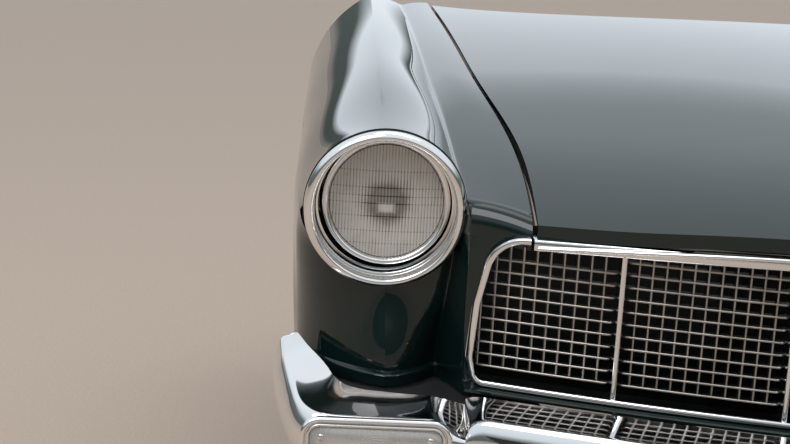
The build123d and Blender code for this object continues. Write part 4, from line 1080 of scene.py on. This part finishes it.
def make_hood():
    """The hood's skin, its edges turned down."""
    right, left = (-HOOD_HALF_REAR, HOOD_REAR_SIDE), (HOOD_HALF_REAR, HOOD_REAR_SIDE)
    rear = arc(right, (0.0, HOOD_REAR_MIDDLE), left, 200)
    outward = np.linspace(0, HOOD_HALF_FRONT, 100)
    nose = through(*np.transpose(HOOD_NOSE), outward)
    rows = np.empty((HOOD_ROWS, HOOD_COLUMNS, 2))
    for row, share in enumerate(np.linspace(0, 1, HOOD_ROWS)):
        for column, across in enumerate(np.linspace(-1, 1, HOOD_COLUMNS)):
            half = HOOD_HALF_START
            for _ in range(HOOD_EDGE_PASSES):
                front_y = np.interp(abs(across * half), outward, nose)
                y = front_y + share * (np.interp(across * half, rear[:, 0], rear[:, 1]) - front_y)
                half = station(min(0.0, y))[0] - HOOD_GAP
            rows[row, column] = across * half, y
    surface = np.dstack([rows, hood_z(rows[..., 0], rows[..., 1])])
    edge = np.concatenate([surface[0], surface[1:, -1], surface[-1, ::-1][1:], surface[::-1, 0][1:-1]])
    front = np.zeros(len(edge))
    front[:HOOD_COLUMNS] = 1.0
    skirt = [edge - [0, 0, HOOD_EDGE_ROUND * (1 - cos(turn))] for turn in np.linspace(0, pi / 2, 6)]
    low = edge - [0, 0, HOOD_LIP_DROP]
    low[:, 1] += front * HOOD_EDGE_ROUND
    back = low.copy()
    back[:, 0] -= np.sign(back[:, 0]) * HOOD_HEM_SIDE * (1 - front)
    back[:, 1] += front * HOOD_HEM_FRONT
    piece = Piece("hood_panel")
    piece.grid(surface)
    piece.grid(skirt + [low, back], across=True)
    piece.make("body_paint", body="hood", replaces=["hood_skin"], sharp=40.0)


make_hood()

# Hood moulding: the bright bar under the lip
BAR_LEVEL = 695.0
BAR_GAP = 1.0
BAR_END_GAP = 2.5


def make_moulding():
    """The bright bar under the hood's lip, a rounded section."""
    half = HOOD_HALF_FRONT - HOOD_GAP - BAR_END_GAP
    x = np.linspace(-half, half, 160)
    y = grille_y(x, BAR_LEVEL)
    line = np.column_stack([x, y])
    ahead = beside(line)
    top = hood_z(x, y - HOOD_LIP_AHEAD) - HOOD_LIP_DROP - BAR_GAP
    profile = [(0.0, 0.0), (3.0, -0.3), (5.2, -1.6), (6.0, -3.6), (5.6, -5.6), (4.4, -6.6), (0.0, -7.0),
               (-20.0, -7.0), (-20.0, 0.0), (0.0, 0.0)]
    piece = Piece("hood_bright_bar")
    piece.beam([np.column_stack([line + ahead * reach, top + rise]) for reach, rise in profile])
    piece.make("bright_trim", body="hood", replaces=["hood_moulding"], sharp=50.0)


make_moulding()


# Grille: the bright surround, the rail under the hood, the dividers and the egg-crate
FRAME_BAR = 10.0
FRAME_DEPTH = 34.0
HEADER_BAR = 16.0
HEADER_HALF_WIDTH = 626.0
HEADER_LAP = 1.0
FRAME_OPEN_HALF = 630.5
FRAME_OPEN_DEPTH = 4.0
GRILLE_CENTER = np.array([0.0, 600.0])
HEADER_FOOT = [(0, 714.0), (300, 711.0), (510, 704.5), (628, 699.5)]
DIVIDERS_X = (-505.0, -280.0, 0.0, 280.0, 505.0)
DIVIDER_WIDTH = 8.0
DIVIDER_DEPTH = 30.0
MESH_RECESS = 15.0
MESH_DEPTH = 16.0
MESH_BAR = 2.8
MESH_FOOT = 518.0
MESH_ROWS = 11
MESH_ROW_PITCH = 17.8
MESH_COLUMN_PITCH = 18.6
MESH_TOP_HALF = 505.0
MESH_BEND = 9.0
MESH_BEND_BACK = 11.0
MESH_CORNER_X = 600.0
MESH_OVERLAP = 1.5
MESH_SHORTEST = 40.0


def header_foot(x):
    """Height of the lower edge of the rail under the hood."""
    table = np.array(HEADER_FOOT)
    return np.interp(np.abs(x), table[:, 0], table[:, 1])


def make_grille_frame():
    """The surround: a rounded bead along the outline, open at the top where the hood's bar closes it."""
    outline = grille_outline(0.0, 24)
    line = even(np.concatenate([outline, outline[:1]]), 900)[:-1]
    open_top = (line[:, 1] > GRILLE_TOP - FRAME_OPEN_DEPTH) & (np.abs(line[:, 0]) < FRAME_OPEN_HALF)
    start = int(np.argmax(open_top & ~np.roll(open_top, -1)))
    line = np.roll(line, -start - 1, axis=0)[:int((~open_top).sum())]
    inward = beside(line)
    if np.dot(inward[0], GRILLE_CENTER - line[0]) < 0:
        inward = -inward
    face = smooth_profile([(0.0, -2.0), (0.3, 1.4), (1.8, 3.4), (4.6, 4.4), (7.4, 3.9), (9.2, 2.2),
                           (9.9, -0.6)], 22)
    profile = [(0.0, -12.0), *face, (FRAME_BAR, -6.0), (FRAME_BAR, -FRAME_DEPTH), (0.0, -FRAME_DEPTH),
               (0.0, -12.0)]
    rows = []
    for reach, ahead in profile:
        x, z = (line + inward * reach).T
        rows.append(np.column_stack([x, grille_y(x, z) - ahead, z]))
    piece = Piece("grille_surround")
    piece.beam(rows)
    # The rail under the hood
    places = np.linspace(-HEADER_HALF_WIDTH, HEADER_HALF_WIDTH, 160)
    foot = header_foot(places)
    front = grille_y(places, foot)
    profile = [(2, 0.8), (1, 2.4), (0, HEADER_BAR - 1), (1, HEADER_BAR), (FRAME_DEPTH, HEADER_BAR),
               (FRAME_DEPTH, 0), (3, 0), (2, 0.8)]
    piece.beam([np.column_stack([places, front + back, foot + rise]) for back, rise in profile])
    piece.make("bright_trim", replaces=["grille_frame"], sharp=50.0)


make_grille_frame()


def make_dividers():
    """Five bright uprights with rounded fronts."""
    piece = Piece("grille_uprights")
    half = DIVIDER_WIDTH / 2
    profile = [(-half, DIVIDER_DEPTH), (-half, 5.0), (-half * 0.92, 3.4), (-half * 0.6, 2.2), (0.0, 1.6),
               (half * 0.6, 2.2), (half * 0.92, 3.4), (half, 5.0), (half, DIVIDER_DEPTH)]
    for x in DIVIDERS_X:
        ends = (GRILLE_BOTTOM + FRAME_BAR, float(header_foot(x)) + HEADER_LAP)
        rows = [[(x + side, float(grille_y(x, z)) + back, z) for side, back in profile] for z in ends]
        piece.grid(np.array(rows), across=True)
    piece.make("bright_trim", replaces=["grille_dividers"], sharp=50.0)


make_dividers()


def mesh_bar(piece, rows):
    """One bar of the mesh: its front edge in the metal's own colour, its flanks darker as painted shade."""
    piece.grid(rows[:2], mark=1)
    piece.grid(rows[1:5])
    piece.grid(rows[4:], mark=1)


def level_bar(piece, z, left, right):
    """A level bar of the mesh, its ends bent back."""
    half = MESH_BAR / 2
    bend = np.linspace(0, MESH_BEND, 7)
    straight = np.linspace(left + MESH_BEND, right - MESH_BEND, 24)[1:-1]
    places = np.concatenate([left + bend, straight, right - bend[::-1]])
    near_end = np.maximum(0.0, MESH_BEND - np.minimum(places - left, right - places)) / MESH_BEND
    front = grille_y(places, z) + MESH_RECESS + MESH_BEND_BACK * near_end ** 2
    profile = [(MESH_DEPTH, -half), (0.7, -half), (0.0, -half * 0.5), (0.0, half * 0.5), (0.7, half),
               (MESH_DEPTH, half), (MESH_DEPTH, -half)]
    rows = [np.column_stack([places, front + back, np.full(len(places), z + rise)]) for back, rise in profile]
    mesh_bar(piece, rows)


def upright_bar(piece, x, low, high):
    """An upright bar of the mesh."""
    half = MESH_BAR / 2
    profile = [(-half, MESH_DEPTH), (-half, 1.5), (-half * 0.5, 0.8), (half * 0.5, 0.8), (half, 1.5),
               (half, MESH_DEPTH), (-half, MESH_DEPTH)]
    levels = np.linspace(low, high, 3)
    front = grille_y(x, levels) + MESH_RECESS
    rows = [np.column_stack([np.full(3, x + across), front + back, levels]) for across, back in profile]
    mesh_bar(piece, rows)


def make_mesh():
    """The egg-crate: level bars and upright bars crossing them, their flanks darkened as painted shade inside
    the cells.
    """
    inside = outline_side(FRAME_BAR - MESH_OVERLAP, 16)
    edges = [-GRILLE_HALF_WAIST, *DIVIDERS_X, GRILLE_HALF_WAIST]
    for section, (start, end) in enumerate(zip(edges[:-1], edges[1:]), start=1):
        piece = Piece(f"egg_crate_{section}")
        first = start + DIVIDER_WIDTH / 2 if section > 1 else start
        last = end - DIVIDER_WIDTH / 2 if section <= len(DIVIDERS_X) else end
        for number in range(MESH_ROWS):
            z = MESH_FOOT + number * MESH_ROW_PITCH
            limit = float(np.interp(z, inside[:, 1], inside[:, 0]))
            if number == MESH_ROWS - 1:
                limit = min(limit, MESH_TOP_HALF)
            if max(start, -limit) < min(end, limit) - MESH_SHORTEST:
                level_bar(piece, z, max(first, -limit), min(last, limit))
        columns = round((last - first) / MESH_COLUMN_PITCH)
        step = (last - first) / columns
        for number in range(1, columns):
            x = first + number * step
            low, high = MESH_FOOT, float(header_foot(x)) + HEADER_LAP
            if abs(x) > MESH_CORNER_X:
                heights = inside[inside[:, 0] >= abs(x)][:, 1]
                if not len(heights):
                    continue
                low = max(low, float(heights.min()))
                high = min(high, float(heights.max()))
            upright_bar(piece, x, low, high)
        # the second material paints shade on the bars' flanks
        piece.make("grille_metal", replaces=[f"grille_mesh_{section}"], sharp=25.0,
                   materials=[MATERIALS["grille_metal"], MATERIALS["grille_painted_shade"]])


make_mesh()

# Headlamps: bezel, ring, fluted glass, reflector and bulb shield
LENS_X, LENS_HEIGHT = HEADLAMP_MIDDLE
LENS_Y = -1680.0
LENS_RADIUS = 82.5
LENS_CROWN = 12.0
BOWL_RADIUS = LENS_RADIUS * 0.97
BOWL_DEEPEST = -58.0
BOWL_RISE = 54.0
AROUND = 128


def turned_grid(profile, middle, tilt):
    """A profile of radius and reach ahead turned about a lamp's axis."""
    turns = around(AROUND)
    rows = []
    for radius, ahead in profile:
        rise = radius * np.sin(turns)
        rows.append(np.column_stack([middle[0] + radius * np.cos(turns),
                                     middle[1] - ahead * cos(tilt) - rise * sin(tilt),
                                     middle[2] + rise * cos(tilt) - ahead * sin(tilt)]))
    return np.array(rows)


GLASS_WALL = 3.4
BACK_RADIUS = 80.4
FLUTE_PITCH = 4.2
FLUTE_DEPTH = 0.9
FLUTE_STEPS = 6
FLUTE_FADE = 4.0
BAND_EDGES = (-82.0, -43.0, -21.0, 0.0, 10.0, 21.0, 45.0, 82.0)
BAND_DEPTH = 0.9


def fluted_back():
    """The back of the headlamp glass: upright flutes in level bands, plain at the rim."""
    flutes = int(2 * BACK_RADIUS / FLUTE_PITCH)
    across = np.linspace(-BACK_RADIUS, BACK_RADIUS, flutes * FLUTE_STEPS + 1)
    edges = np.array(BAND_EDGES)
    columns = []
    for x in across:
        half = np.sqrt(max(BACK_RADIUS ** 2 - x ** 2, 0.01))
        rise = np.linspace(-half, half, 88)
        radius = np.hypot(x, rise)
        band = np.clip(np.searchsorted(edges, rise) - 1, 0, len(edges) - 2)
        within = (rise - edges[band]) / (edges[band + 1] - edges[band])
        flute = np.abs(np.sin(pi * (x / FLUTE_PITCH + 0.5 * (band % 2))))
        relief = FLUTE_DEPTH * flute + BAND_DEPTH * np.sin(pi * within)
        plain = ease((BACK_RADIUS - radius) / FLUTE_FADE)
        ahead = LENS_CROWN * (1 - (radius / BACK_RADIUS) ** 2) - GLASS_WALL - relief * plain
        columns.append(np.column_stack([LENS_X + x + 0 * rise, LENS_Y - ahead, LENS_HEIGHT + rise]))
    return np.array(columns)


def make_headlamps():
    """Both headlamps, from the same profiles."""
    bezel = ((LAMP_X, BEZEL_Y, LAMP_HEIGHT), BEZEL_TILT)
    lens = ((LENS_X, LENS_Y, LENS_HEIGHT), 0.0)
    rim = smooth_profile([(116.4, 0.3), (117.0, 4.0), (116.2, 9.5), (113.0, 14.6), (108.8, 16.8),
                          (105.2, 15.6), (103.2, 12.4)], 26)
    funnel = smooth_profile([(103.2, 12.4), (102.2, 8.0), (100.8, 0.0), (99.6, -9.0), (99.0, -18.0)], 14)
    ring = smooth_profile([(94.2, -9.0), (94.4, -1.0), (93.0, 3.6), (90.0, 5.8), (86.6, 5.2), (84.2, 2.2),
                           (82.8, -1.0)], 22)
    crown = [(LENS_RADIUS * share, LENS_CROWN * (1 - share ** 2)) for share in np.linspace(0.004, 1.0, 48)]
    wall = [crown[-1], (BACK_RADIUS, -GLASS_WALL)]
    bowl = [(BOWL_RADIUS * share, BOWL_DEEPEST + BOWL_RISE * share ** 2)
            for share in np.linspace(1.0, 0.10, 40)]
    shield = smooth_profile([(0.2, -24.0), (6.0, -24.4), (9.6, -26.0), (11.0, -30.0), (11.2, -36.0)], 18)
    bulb = smooth_profile([(0.2, -33.0), (4.0, -34.0), (6.5, -38.0), (7.0, -44.0), (6.0, -54.0)], 18)
    pieces = [
        # name, profiles, middle and tilt, slot, sharp angle, material, replaced node
        ("lamp_bezel", (rim, funnel), bezel, "bright_trim", 60.0, "bright_trim", "headlamp_bezel"),
        ("lamp_ring", (ring,), lens, "bright_trim", 60.0, "bright_trim", "headlamp_ring"),
        ("lamp_glass", (crown, wall), lens, "lamp_glass", 28.0, "headlamp_glass", "headlamp_lens"),
        ("lamp_reflector", (bowl, shield, bulb), lens, "lamp_metal", 60.0, "lamp_bowl", None),
    ]
    for side_name, mirror in SIDES:
        for name, profiles, (middle, tilt), slot, sharp, material, node in pieces:
            piece = Piece(f"{name}_{side_name}")
            for profile in profiles:
                piece.grid(turned_grid(profile, middle, tilt) * mirror, across=True)
            if name == "lamp_glass":
                piece.grid(fluted_back() * mirror)
            replaces = [f"{node}_{side_name}"] if node else []
            piece.make(slot, replaces=replaces, sharp=sharp, materials=[MATERIALS[material]])


make_headlamps()


# Bumper: a thin pressing, its ends carried up round the fenders, a notch on each side of the blade
BUMPER_END = [
    # ridge x, ridge y, facing angle, the shelf's back edge x and y, shelf z, ridge z, foot z
    (710.3, -1846, -90, 710.3, -1784, 480, 464, 372),
    (800, -1851, -89, 800, -1783, 482, 465.5, 371),
    (860, -1855, -86, 856, -1780, 485, 467, 370),
    (900, -1853, -76, 880, -1775, 489, 467, 370),
    (928, -1843, -56, 892, -1764, 494, 468, 371),
    (945, -1822, -36, 900, -1752, 499, 472, 373),
    (955, -1795, -18, 906, -1738, 504, 479, 376),
    (964, -1755, -10, 915, -1718, 509, 489, 380),
    (976, -1690, -6, 938, -1670, 518, 506, 390),
    (982, -1615, -2, 956, -1614, 524, 519, 398),
]
BUMPER_BLADE = [
    # x in plan, shelf z, ridge z
    (0, 488, 472),
    (270, 488, 472),
    (500, 487, 471),
    (710, 484, 468),
]
BUMPER_AHEAD = 100.0
BUMPER_REACH = 64.0
BLADE_FOOT = 372.0
BUMPER_KNEE = 26.0
# The section's ridge, bulge, knee and foot, ahead of the bumper's line, and the bend between the last two
RIDGE_AT = -4.0
BULGE_AT = 8.0
KNEE_AT = -2.0
FOOT_AT = -26.0
UNDER_BEND = (-10.0, 8.0)
SAG_RATIO = 20.0
RIDGE_BAND = 2.0
BUMPER_WALL = 4.0
RIDGE_ROUND = 5
# Width and depth of the notches
END_NOTCH = (50.0, 27.0)
BLADE_NOTCH = (30.0, 29.0)
NOTCH_ROWS_END = 60.0
NOTCH_POWER = 1.15
# The tip's rounding: how far along it goes, how nearly it closes and how far its top comes down
TIP_LENGTH = 16.0
TIP_CLOSED = 0.995
TIP_FALL = 0.5
SHELF_SHARE = 0.35
FACE_SHARE = 0.6
END_ROUND = 14
PAN_HEIGHT = 469.0
PAN_REAR_Y = -1540.0
PAN_INNER_X = 600.0
PAN_CORNER_X = 702.0
PAN_CLEARANCE = 2.0
PAN_BELOW = 7.0
PAN_INNER_HEIGHT = 478.0
PAN_OUTER_X = 946.0
PAN_SHORT = 30.0
END_LENGTHS = lengths_along(np.array(BUMPER_END)[:, :2])


def bumper_profile(reach, shelf, ridge, foot):
    """The pressing's section as reach outwards and height, and each point's share of the notch's roll."""
    knee = foot + BUMPER_KNEE
    sag = (shelf + ridge) / 2 - reach / SAG_RATIO
    top = arc((-reach, shelf), ((RIDGE_AT - reach) / 2, sag), (RIDGE_AT, ridge), 40)
    face = arc((RIDGE_AT, ridge), (BULGE_AT, (ridge + knee) / 2), (KNEE_AT, knee), 40)
    under = arc((KNEE_AT, knee), (UNDER_BEND[0], foot + UNDER_BEND[1]), (FOOT_AT, foot), 16)
    line = softened(even(np.concatenate([top[:-1], face[:-1], under]), 110), RIDGE_ROUND)
    inside = line + beside(line) * BUMPER_WALL
    back = np.clip((RIDGE_AT - line[:, 0]) / (reach + RIDGE_AT), 0, 1)
    below = np.clip((ridge - line[:, 1]) / ((ridge - knee) * FACE_SHARE), 0, 1)
    share = np.where(line[:, 1] >= ridge - RIDGE_BAND, 1 - (1 - SHELF_SHARE) * back, (1 - below) ** 2)
    return np.concatenate([line, inside[::-1]]), np.concatenate([share, share[::-1]])


def set_section(x, y, angle, back_x, back_y, shelf, ridge, foot, drop=0.0, pull=0.0):
    """One section of the bumper in space, rolled down by the notch and drawn in at the tip."""
    reach = float(np.hypot(back_x - x, back_y - y))
    profile, share = bumper_profile(reach, shelf, ridge, foot)
    outward = np.array([cos(radians(angle)), sin(radians(angle))])
    back = np.array([back_x - x, back_y - y]) - RIDGE_AT * outward
    middle = -reach / 2
    reaches = middle + (profile[:, 0] - middle) * (1 - pull)
    upper = profile[:, 1] > (shelf + foot) / 2
    heights = profile[:, 1] - drop * share - pull * TIP_LENGTH * TIP_FALL * upper
    behind = np.maximum(0.0, RIDGE_AT - reaches)[:, None] / (reach + RIDGE_AT)
    plan = np.array([x, y]) + outward * np.maximum(reaches, RIDGE_AT)[:, None] + back * behind
    return np.column_stack([plan, heights])


def end_values(wanted):
    """The end's section values at distances along it, the stations joined and their corners rounded."""
    dense = np.linspace(0, END_LENGTHS[-1], 300)
    table = softened(columns_at(dense, END_LENGTHS, BUMPER_END), END_ROUND)
    return columns_at(wanted, dense, table)


def blade_y(x):
    """Where the blade's ridge is in plan."""
    return float(np.interp(x, PLAN[:, 0], PLAN[:, 1])) - BUMPER_AHEAD


def make_bumper_ends():
    """Both ends, from the notch round the corner and up to the tip."""
    tip_start = END_LENGTHS[-1] - TIP_LENGTH
    notch = np.linspace(0, NOTCH_ROWS_END, 25)
    body = np.linspace(NOTCH_ROWS_END, tip_start, 110)[1:]
    tip = tip_start + TIP_LENGTH * np.sin(np.linspace(0, pi / 2, 12))[1:]
    places = np.concatenate([notch, body, tip])
    width, depth = END_NOTCH
    sections = []
    for reached, values in zip(places, end_values(places)):
        drop = depth * max(0.0, 1 - reached / width) ** NOTCH_POWER
        beyond = max(0.0, reached - tip_start) / TIP_LENGTH
        pull = 1 - np.sqrt(max(0.0, 1 - (beyond * TIP_CLOSED) ** 2))
        sections.append(set_section(*values, drop=drop, pull=pull))
    for name, mirror in SIDES:
        piece = Piece(f"bumper_corner_{name}")
        piece.tube(np.array(sections) * mirror)
        piece.make("bright_trim", replaces=[f"bumper_end_{name}"], sharp=45.0)


def make_bumper_blade():
    """The blade under the grille, following the grille's plan and rolled down at both notches."""
    rows = np.array(BUMPER_BLADE, float)
    width, depth = BLADE_NOTCH
    half = PLAN[-1, 0]
    near = half - width * (1 - np.sin(np.linspace(0, pi / 2, 14)))
    left_half = np.concatenate([np.linspace(0, half - width, 90)[:-1], near])
    sections = []
    for x in np.concatenate([-left_half[:0:-1], left_half]):
        shelf, ridge = through(rows[:, 0], rows[:, 1:], [abs(x)])[0]
        y = blade_y(x)
        inside = max(0.0, 1 - (half - abs(x)) / width)
        drop = depth * (1 - np.sqrt(max(0.0, 1 - inside ** 2)))
        sections.append(set_section(x, y, -90, x, y + BUMPER_REACH, shelf, ridge, BLADE_FOOT, drop=drop))
    piece = Piece("bumper_middle")
    piece.tube(np.array(sections))
    piece.make("bright_trim", replaces=["bumper_blade"], sharp=45.0)


def make_splash_pans():
    """Pans from the bumper's shelf back under the fenders, which close the gap behind the bumper; their
    near-black colour is partly their own black and partly painted shade for that gap.
    """
    values = end_values(np.linspace(0, END_LENGTHS[-1] - PAN_SHORT, 60))
    inner = [(x, blade_y(x) + BUMPER_REACH + PAN_CLEARANCE, PAN_INNER_HEIGHT)
             for x in np.linspace(PAN_INNER_X, PAN_CORNER_X, 12)]
    edge = np.concatenate([inner, values[:, 3:6] + [-PAN_CLEARANCE, PAN_CLEARANCE, -PAN_BELOW]])
    low = edge.copy()
    low[:, 2] = PAN_HEIGHT
    rear = low.copy()
    rear[:, 0] = np.linspace(PAN_INNER_X, PAN_OUTER_X, len(edge))
    rear[:, 1] = PAN_REAR_Y
    for name, mirror in SIDES:
        piece = Piece(f"splash_pan_{name}")
        piece.grid(np.array([edge, low, rear]) * mirror)
        piece.make("frame_black", sharp=40.0, thickness=1.2, materials=[MATERIALS["pan_black_painted_shade"]])


make_bumper_ends()
make_bumper_blade()
make_splash_pans()

# Parking lamps: surround, lens and screws
PARKING_HALF_WIDTH = 92.0
PARKING_HALF_HEIGHT = 34.0
PARKING_CORNER = 14.0
SMALLEST_CORNER = 2.0
PARKING_Y = -1863.0
PARKING_CAN = 39.0
SCREW_INSET = (16.0, 15.0)
SCREW_AHEAD = 4.2
SCREW_PROFILE = [(0.05, 1.9), (1.6, 1.8), (3.2, 1.3), (4.3, 0.4), (4.6, -0.4), (4.6, -2.0)]
SLOT_WIDTH = 0.35
SLOT_REACH = 3.0
SLOT_DEPTH = 1.1


def lamp_outline(margin):
    """The lamp's rounded outline, x and height, moved out by margin."""
    half_x, half_z = PARKING_HALF_WIDTH + margin, PARKING_HALF_HEIGHT + margin
    corners = [(half_x, -half_z), (half_x, half_z), (-half_x, half_z), (-half_x, -half_z)]
    return filleted(corners, [max(SMALLEST_CORNER, PARKING_CORNER + margin)] * 4, 12) + PARKING_MIDDLE


def lamp_ring(margin, ahead):
    """The outline at one step of the surround's section."""
    return np.insert(lamp_outline(margin), 1, PARKING_Y - ahead, axis=1)


def screw_rings(x, z):
    """A domed screw head with a crossed slot."""
    turns = around(32)
    rings = []
    for radius, ahead in SCREW_PROFILE:
        slot = (np.abs(np.sin(2 * turns)) < SLOT_WIDTH) & (radius < SLOT_REACH)
        y = PARKING_Y - SCREW_AHEAD - ahead + np.where(slot, SLOT_DEPTH, 0.0)
        rings.append(np.column_stack([x + radius * np.cos(turns), y, z + radius * np.sin(turns)]))
    return np.array(rings)


def make_parking_lamps():
    """Both parking lamps, from the same outlines."""
    section = smooth_profile([(14.0, -2.0), (14.0, 2.5), (12.6, 5.6), (10.0, 7.0), (7.4, 6.0),
                              (6.2, 3.4)], 20)
    groove = [(6.2, 3.4), (5.9, 1.4), (5.0, 1.4), (4.8, 3.4)]
    rim = smooth_profile([(4.8, 3.4), (4.2, 5.2), (2.8, 6.2), (1.2, 5.6), (0.2, 3.6), (0.0, 0.0)], 14)
    bowl = [(0.0, 0.0), (0.0, -30.0), (-10.0, -38.0)]
    can = [(14.0, -2.0), (6.0, -2.0), (6.0, -PARKING_CAN)]
    lens = [(-0.4, -3.0), (-0.4, 2.2), (-1.0, 3.4), (-3.0, 4.0)]
    for name, mirror in SIDES:
        surround = Piece(f"parking_surround_{name}")
        for steps in (section, groove, rim, bowl, can):
            surround.grid(np.array([lamp_ring(*step) for step in steps]) * mirror, across=True)
        surround.cap(lamp_ring(*bowl[-1]) * mirror)
        surround.cap(lamp_ring(*can[-1]) * mirror)
        surround.make("bright_trim", replaces=[f"parking_lamp_housing_{name}"], sharp=40.0)
        glass = Piece(f"parking_glass_{name}")
        glass.grid(np.array([lamp_ring(*step) for step in lens]) * mirror, across=True)
        glass.cap(lamp_ring(*lens[-1]) * mirror)
        glass.make("lamp_glass", replaces=[f"parking_lamp_lens_{name}"], sharp=30.0,
                   materials=[MATERIALS["parking_glass"]])
        screws = Piece(f"parking_screws_{name}")
        for across in (-1, 1):
            for rise in (-1, 1):
                x = PARKING_MIDDLE[0] + across * (PARKING_HALF_WIDTH - SCREW_INSET[0])
                z = PARKING_MIDDLE[1] + rise * (PARKING_HALF_HEIGHT - SCREW_INSET[1])
                screws.grid(screw_rings(x, z) * mirror, across=True)
        screws.make("lamp_metal", sharp=30.0)


make_parking_lamps()
